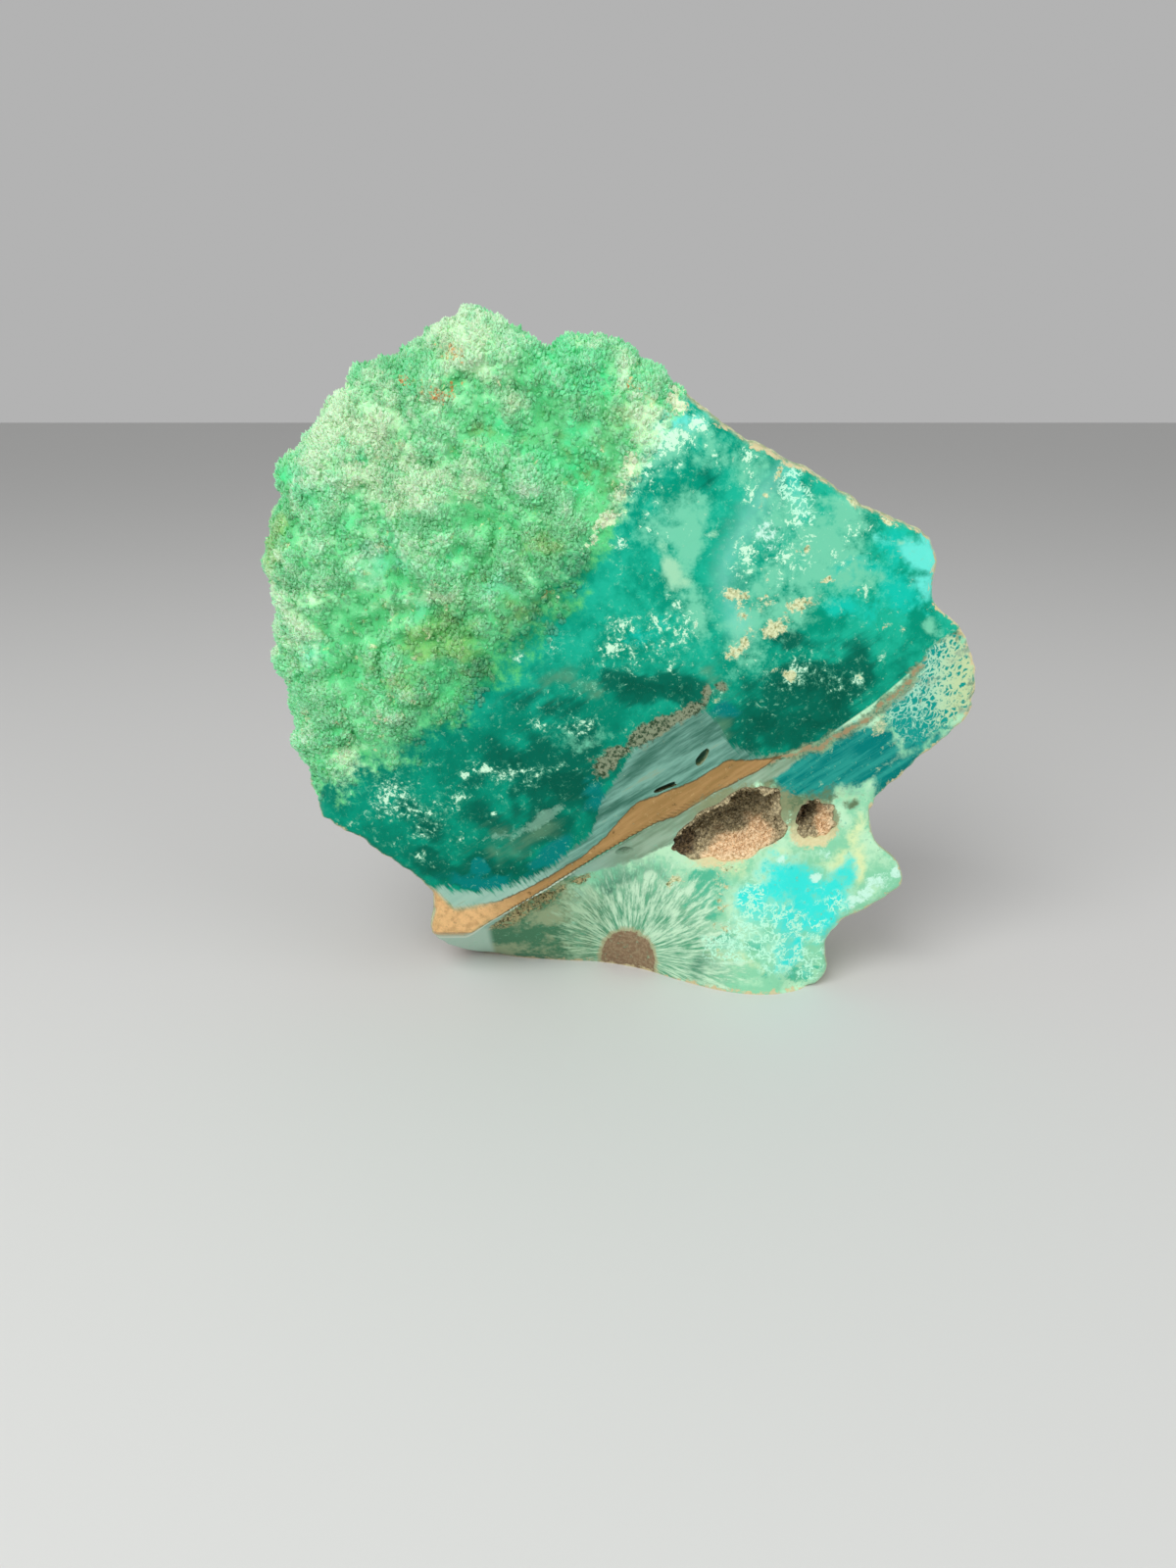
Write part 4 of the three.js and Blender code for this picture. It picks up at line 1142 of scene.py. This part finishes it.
def green_skin(s):
    """The sugary skin: deeper green with painted shade in the hollows and paler with a painted highlight
    on the crests, mossy low down, with fine white strokes, brown creases and cream or rusty patches."""
    soft = s.noise(4.2, 3, 0.5, s.pushed)
    height = s.swung(s.calc("MULTIPLY", s.attribute("height"), 0.7), soft, 2.6)
    # Painted shade and painted highlight: the greens run darker in the skin's hollows and paler on its
    # crests, by the skin's height.
    colour = s.patches(s.two_tone(height, -1, 0.6, SKIN_GREEN_SHADE_TO_HIGHLIGHT), [
        ("moss", soft, 1.2, 0.15, 0.8, 0.9, s.two_tone(height, -0.9, 0.6, SKIN_MOSS_SHADE_TO_HIGHLIGHT)),
        ("clear_green", soft, 1.6, 0.3, 0.8, 0.7, SKIN_CLEAR),
        ("skin_blue", soft, 1.6, 0.2, 1, 0.6, SKIN_BLUE),
        ("pale_skin", soft, 1.6, 0.1, 1, 0.75, SKIN_PALE),
    ])
    clear = s.calc("MULTIPLY", s.step(s.mottle, 0.2, 0.9, 0.85), s.step(soft, 0.38, 0.58))
    colour = s.mix(clear, colour, SKIN_CLEAR)
    # Painted highlight: white along the skin's crests.
    colour = s.mix(s.step(s.swung(height, s.fine, 2.2), 0.3, 1.5, 0.7), colour, SKIN_WHITE)
    upright = s.vector("MULTIPLY", s.pushed, (1.2, 1, 0.5))
    stroke = s.calc("ADD", s.noise(0.9, 3, 0.6, upright), s.calc("MULTIPLY", height, 0.04))
    colour = s.mix(s.step(stroke, 0.6, 0.72, 0.6), colour, SKIN_WHITE)
    crease = s.calc("ADD", height, s.calc("MULTIPLY", s.tide, 1.2))
    colour = s.mix(s.step(crease, -1.1, -2, 0.6), colour, SKIN_BROWN)
    blot = s.calc("ADD", s.noise(3, 4, 0.62, s.pushed), s.calc("MULTIPLY", s.tide, 0.05))
    colour = s.mix(s.step(blot, 0.61, 0.66, 0.35), colour, SKIN_BLOTS[0])
    colour = s.mix(s.step(blot, 0.66, 0.71, 0.7), colour, SKIN_BLOTS[1])
    rust = s.calc("MULTIPLY", s.zone("rust", s.fine, 3.4, 0.55, 0.9), s.step(s.grit, 0.42, 0.58))
    colour = s.mix(rust, colour, RUST)
    lower_right = s.calc("MULTIPLY", s.step(s.z, *SKIN_EDGE_Z), s.step(s.x, *SKIN_EDGE_X))
    fade = s.calc("MULTIPLY", s.zone("natural", s.fine, 26, 20, -2), lower_right)
    colour = s.mix(fade, colour, s.two_tone(s.mottle, -0.3, 0.9, SKIN_EDGE))
    return s.patches(colour, [("crust", s.spatter, 2.6, 0.45, 0.7, 0.95, SKIN_CRUST)])


def rind(s):
    """Broken iron ore: brown and cream, with stains of green where the carbonate shows, and
    paler just behind the front."""
    colour = s.mix(s.step(s.mottle, 0.1, 0.7, 0.8), s.two_tone(s.spatter, 0.34, 0.7, RIND),
                   s.two_tone(s.spatter, 0.42, 0.6, RIND_RUST))
    green = s.swung(s.swung(s.tide, s.spatter, 1.2), s.fine, 0.9)
    colour = s.mix(s.step(green, 0.1, 0.7, 0.9), colour, s.two_tone(s.fine, 0.38, 0.62, RIND_GREEN))
    colour = s.mix(s.step(s.mottle, -0.5, -1), colour, RIND_HOLES)
    near = s.step(s.swung(s.y, s.fine, 14), *RIND_EDGE_Y, 0.9)
    return s.mix(near, colour, s.two_tone(s.spatter, 0.4, 0.62, RIND_EDGE))


def stone_material(name):
    """The whole stone: each face's colours, chosen by its zones, and a surface to match."""
    s = StoneShader(name)
    colour = s.mix(s.step(s.attribute("below"), -0.3, 0.3), teal_face(s), foot_face(s))
    colour = crusts(s, seam_marks(s, flecks(s, colour)))
    edge = s.mix(s.grit, *FACE_EDGE)
    colour = s.patches(colour, [("inside", s.fine, 9, 0.9, -0.1, 1, edge)])
    colour = s.mix(s.attribute("rind"), colour, rind(s))
    natural = s.zone("natural", s.fine, 30, -6, 4)
    colour = s.mix(natural, colour, green_skin(s))
    colour = s.mix(s.calc("MULTIPLY", s.attribute("tip"), TIP_SHARE), colour, SKIN_TIPS)
    rough = s.calc("MAXIMUM", natural, s.attribute("rind"))
    bump = s.node("Bump", {"Height": s.grit, "Distance": GRIT_DEPTH, "Strength": rough})
    return s.finish(s.node("BsdfPrincipled", {
        "Base Color": colour,
        "Roughness": s.between(rough, ROUGHNESS),
        "Normal": bump,
        "Specular IOR Level": SHINE,
        "Subsurface Weight": s.between(natural, LIGHT_WITHIN),
        "Subsurface Radius": LIGHT_REACH_SHARES,
        "Subsurface Scale": LIGHT_REACH,
    }))


smithsonite = stone_material("smithsonite")
stone.data.materials.clear()
stone.data.materials.append(smithsonite)


# ---- Small crystals on the natural skin -------------------------------------------------------
# The natural skin is sugary: flattened rhombs of zinc carbonate, one to two millimetres across,
# overlap like scales with their clear points upwards. They are two pieces, front and rim.

CRYSTALS = 10000
CRYSTAL_HALF = (0.28, 0.72)
CRYSTAL_HALF_BETA = (1.6, 3)  # more small ones than large ones between those half sizes
CRYSTAL_SHAPE = (1, 0.7, 1.5)  # width, thickness and length, as parts of an even rhomb
CRYSTAL_LEAN = 0.35
CRYSTAL_UPRIGHT = 0.9  # how much the crystals lean up rather than straight out of the skin
CRYSTAL_TIP = np.array([0, 0.1, 0.1, 0.6, 0.1, 0.6, 0.6, 1])  # how near each corner is to the tip
CRYSTALS_FROM = (5, 12)  # they begin over this height above the base,
CRYSTALS_FADE = (-5, 10)  # thin out over this height about the skin's edge
CRYSTALS_END = (-8, -2)  # and end here
CRYSTALS_RAGGED = (9, 5)  # how far patches of this size move the fade
CRYSTALS_CREST = (-1, 2)  # from the skin's hollows to its crests
CRYSTALS_CLOUD = (0, 0.5)  # from bare clouds to full ones, of this size
CRYSTALS_CLOUD_SIZE = 9
CRYSTALS_LEAST = 0.2
FRONT_NORMAL = -0.55  # the front's crystals stand where the skin faces forward at least this much


def rhombs(points, axes, across, halves, shape):
    """A rhomb on each point, sunk to its middle: a cube stood on a corner along the point's axis,
    scaled along its direction across, its thickness and its axis by the shape."""
    corners = np.array([[a, b, c] for a in (-1, 1) for b in (-1, 1) for c in (-1, 1)], float)
    diagonal = np.ones(3) / math.sqrt(3)
    level = np.array([1, -1, 0]) / math.sqrt(2)
    local = np.stack([corners @ level, corners @ np.cross(diagonal, level), corners @ diagonal], -1)
    axes = axes / np.linalg.norm(axes, axis=1, keepdims=True)
    second = np.cross(axes, across)
    second /= np.linalg.norm(second, axis=1, keepdims=True)
    frames = np.stack([np.cross(second, axes), second, axes], 1)
    placed = np.einsum("kc,ncd->nkd", local * shape, frames) * halves[:, None, None] + points[:, None]
    faces = np.array([[0, 1, 3, 2], [4, 6, 7, 5], [0, 4, 5, 1],
                      [2, 3, 7, 6], [0, 2, 6, 4], [1, 5, 7, 3]])
    faces = np.concatenate([faces[:, [0, 1, 2]], faces[:, [0, 2, 3]]])
    triangles = (faces[None] + 8 * np.arange(len(points))[:, None, None]).reshape(-1, 3)
    return placed.reshape(-1, 3), triangles


def scatter(points, triangles, weight, count, random):
    """Points and normals at random on the triangles, as likely as their area times the weight."""
    a, b, c = (points[triangles[:, n]] for n in range(3))
    face = np.cross(b - a, c - a)
    area = np.linalg.norm(face, axis=1)
    chance = np.cumsum(area * weight)
    pick = np.searchsorted(chance, random.uniform(0, chance[-1], count))
    u, v = random.uniform(size=(2, count, 1))
    u, v = np.where(u + v > 1, 1 - u, u), np.where(u + v > 1, 1 - v, v)
    place = a[pick] + u * (b - a)[pick] + v * (c - a)[pick]
    return place, face[pick] / area[pick, None]


def crystal_weight(middle, normals, in_front):
    """How thickly crystals grow: in patches, dense on the skin's crests, none past its edge."""
    inside = skin_at(middle)
    ragged = CRYSTALS_RAGGED[0] * clouds(middle, CRYSTALS_RAGGED[1])
    weight = smooth(*CRYSTALS_FADE, inside + ragged) * smooth(*CRYSTALS_END, inside)
    weight = weight * smooth(*CRYSTALS_FROM, middle[:, 2])
    weight = weight * np.where(normals[:, 1] < FRONT_NORMAL, in_front, not in_front)
    crest = smooth(*CRYSTALS_CREST, skin_height(middle))
    return weight * (CRYSTALS_LEAST + crest
                     + smooth(*CRYSTALS_CLOUD, clouds(middle, CRYSTALS_CLOUD_SIZE)))


def crystal_piece(name, in_front, seed):
    """The crystals of the front's skin, or of the skin round the rim."""
    random = np.random.default_rng(seed)
    middle = skin_points[skin_triangles].mean(1)
    normals = vertex_normals(skin_points, skin_triangles)[skin_triangles].mean(1)
    weight = crystal_weight(middle, normals, in_front)
    place, normals = scatter(skin_points, skin_triangles, weight, CRYSTALS, random)
    halves = random.beta(*CRYSTAL_HALF_BETA, CRYSTALS)
    halves = CRYSTAL_HALF[0] + (CRYSTAL_HALF[1] - CRYSTAL_HALF[0]) * halves
    axes = normals + [0, 0, CRYSTAL_UPRIGHT] + CRYSTAL_LEAN * random.normal(size=place.shape)
    across = np.cross(normals, axes) + CRYSTAL_LEAN * random.normal(size=place.shape)
    made = mesh_object(name, *rhombs(place, axes, across, halves, CRYSTAL_SHAPE))
    zones = zones_at(place, normals)
    write_numbers(made, {zone: np.repeat(value, 8) for zone, value in zones.items()})
    write_numbers(made, {"tip": np.tile(CRYSTAL_TIP, CRYSTALS)})
    made.data.materials.append(smithsonite)
    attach(made, "root")


crystal_piece("skin_crystals_front", in_front=True, seed=1)
crystal_piece("skin_crystals_rim", in_front=False, seed=2)


# ---- The hollows' crusts ----------------------------------------------------------------------
# Both vugs are lined with a granular brown crust, with painted shade in the deep corners and painted
# light, a pinkish tan, on the slopes that face up.
# It grew on their walls and ends at their mouths, and loose grains stand on it.

CRUST_GAP = 0.05
CRUST_SET_BACK = 0.5  # how far the crust's edge lies behind the face
CRUST_FORWARD = 2.6  # the inside is moved out of the hollow, so that the crust thins at the mouth
CRUST_GRAIN = 0.5  # height of the crust's rounded grains
CRUST_ROWS = 64
GRAIN_HALF = (0.15, 0.42)
GRAIN_SHAPE = (1, 1, 1.2)
GRAIN_LEAN = 0.8
# Where the crusts are painted: shade in the deep corners and light on the slopes that face up.
VUG_SPOTS = {
    "painted_light_slope": [(31, 42, 9, 4, 15, 1), (38, 46, 4, 5, 0, 0.8), (55.5, 49, 2.5, 7, 0, 0.9)],
    "painted_shade_corner": [(17, 44, 5, 3.5, 20, 1), (49, 53.5, 3, 4, 40, 1)],
}
# The crust's brown, the painted light of its slopes and the painted shade of its corners.
VUG_BROWN = ((122, 110, 80), (196, 180, 140))
VUG_PAINTED_LIGHT = ((196, 158, 112), (244, 214, 172))
VUG_PAINTED_SHADE = ((58, 46, 26), (130, 108, 74))
VUG_BUMP = 0.0003  # metres, as Blender takes it


def crust_material(name):
    """Brown grains, darkened by painted shade in the corners and turned pinkish tan by painted light on
    the slopes.
    """
    s = Shader(name)
    grit, middle = s.noise(0.9, 4, 0.7), s.noise(4, 4, 0.6)
    # Painted light on the slopes, then painted shade in the corners, over the brown grains.
    colour = s.patches(s.two_tone(grit, 0.4, 0.62, VUG_BROWN), [
        ("painted_light_slope", middle, 1.2, 0.2, 0.6, 1, s.two_tone(grit, 0.38, 0.58, VUG_PAINTED_LIGHT)),
        ("painted_shade_corner", middle, 0.6, 0.3, 0.65, 1, s.two_tone(grit, 0.4, 0.62, VUG_PAINTED_SHADE)),
    ])
    bump = s.node("Bump", {"Height": s.noise(0.5, 3, 0.6), "Distance": VUG_BUMP})
    return s.finish(s.node("BsdfPrincipled", {"Base Color": colour, "Roughness": 0.6, "Normal": bump}))


def crust_grain(place):
    """Rounded grains that stand out of the crust: three sizes of lumps."""
    return CRUST_GRAIN * (abs(lumps(place, 1.7)) + 0.6 * lumps(place, 0.9) + 1.5 * lumps(place, 4.5))


def without_doubles(triangles):
    """The triangles less each pair that lies face to face, which cutting can leave at an edge."""
    _, which, count = np.unique(np.sort(triangles, axis=1), axis=0, return_inverse=True,
                                return_counts=True)
    return triangles[count[which.ravel()] == 1]


def vug_crust(name, node, vug, thickness, grains, seed):
    """The crust: the hollow's ball less a smaller grainy ball, met with the stone set back."""
    random = np.random.default_rng(seed)
    crust = mesh_object(name, *ball(rows=CRUST_ROWS, inset=CRUST_GAP, **vug))
    thickness += CRUST_GAP
    inside, inside_triangles = ball(rows=CRUST_ROWS, inset=thickness, grain=crust_grain, **vug)
    cut(crust, mesh_object("inside", inside - [0, CRUST_FORWARD, 0], inside_triangles), "DIFFERENCE")
    set_back = mesh_object("set_back", stone_points + [0, CRUST_SET_BACK, 0], stone_triangles)
    cut(crust, set_back, "INTERSECT")
    points, triangles = mesh_arrays(crust)
    bpy.data.objects.remove(crust)
    triangles = without_doubles(triangles)
    normals = vertex_normals(points, triangles)[triangles].mean(1)
    inward = ((np.array(vug["middle"]) - points[triangles].mean(1)) * normals).sum(1) > 0
    place, normals = scatter(points, triangles, inward.astype(float), grains, random)
    halves = random.uniform(*GRAIN_HALF, grains)
    axes = normals + GRAIN_LEAN * random.normal(size=place.shape)
    across = random.normal(size=place.shape)
    grain_points, grain_triangles = rhombs(place, axes, across, halves, GRAIN_SHAPE)
    triangles = np.concatenate([triangles, grain_triangles + len(points)])
    points = np.concatenate([points, grain_points])
    crust = mesh_object(name, points, triangles)
    write_numbers(crust, {zone: spots(points[:, 0], points[:, 2], rows)
                          for zone, rows in VUG_SPOTS.items()})
    crust.data.materials.append(vug_crystals)
    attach(crust, "root")
    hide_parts(node)


vug_crystals = crust_material("vug_crystals")
vug_crust("large_vug_crystals", "large_vug_crust", LARGE_VUG, thickness=1.5, grains=3200, seed=3)
vug_crust("small_vug_crystals", "small_vug_crust", SMALL_VUG, thickness=1.1, grains=900, seed=4)


# ---- Floor, light and camera ----------------------------------------------------------------
# A pale floor, a wide soft lamp over the left shoulder, a weaker one from the right that fills
# the shadows, and the camera.

FLOOR_SIDE = 3000
FLOOR_PAINT = (0.62, 0.62, 0.61, 1)
CAMERA = (-9, -320, 171)
CAMERA_TILT = 70
CAMERA_LENS = 27.045
LAMPS = {  # place and side in millimetres, and watts
    "key_lamp": ((-450, -700, 800), 700, 10),
    "fill_lamp": ((800, -500, 400), 800, 3.4),
}
LAMP_TARGET = (0, 0, 90)
STUDIO_GREY = (0.45, 0.45, 0.45, 1)

corners = np.array([[-1, -1, 0], [1, -1, 0], [1, 1, 0], [-1, 1, 0]])
floor = mesh_object("floor", FLOOR_SIDE * corners, np.array([[0, 1, 2], [0, 2, 3]]))
paint = Shader("floor_paint")
floor.data.materials.append(paint.finish(paint.node(
    "BsdfPrincipled", {"Base Color": FLOOR_PAINT, "Roughness": 0.6})))

camera_data = bpy.data.cameras.new("camera")
camera_data.lens = CAMERA_LENS
camera = bpy.data.objects.new("camera", camera_data)
camera.location = [v * MM for v in CAMERA]
camera.rotation_euler = (math.radians(CAMERA_TILT), 0, 0)
bpy.context.scene.collection.objects.link(camera)
bpy.context.scene.camera = camera


def lamp(name, place, side, power):
    """A square lamp that faces the middle of the stone."""
    data = bpy.data.lights.new(name, "AREA")
    data.size = side * MM
    data.energy = power
    made = bpy.data.objects.new(name, data)
    made.location = [v * MM for v in place]
    x, y, z = np.subtract(LAMP_TARGET, place)
    made.rotation_euler = (math.atan2(math.hypot(x, y), -z), 0, math.atan2(-x, y))
    bpy.context.scene.collection.objects.link(made)


for name, (place, side, power) in LAMPS.items():
    lamp(name, place, side, power)
world = bpy.data.worlds.new("studio")
world.use_nodes = True
world.node_tree.nodes["Background"].inputs["Color"].default_value = STUDIO_GREY
bpy.context.scene.world = world
bpy.context.scene.view_settings.view_transform = "Standard"
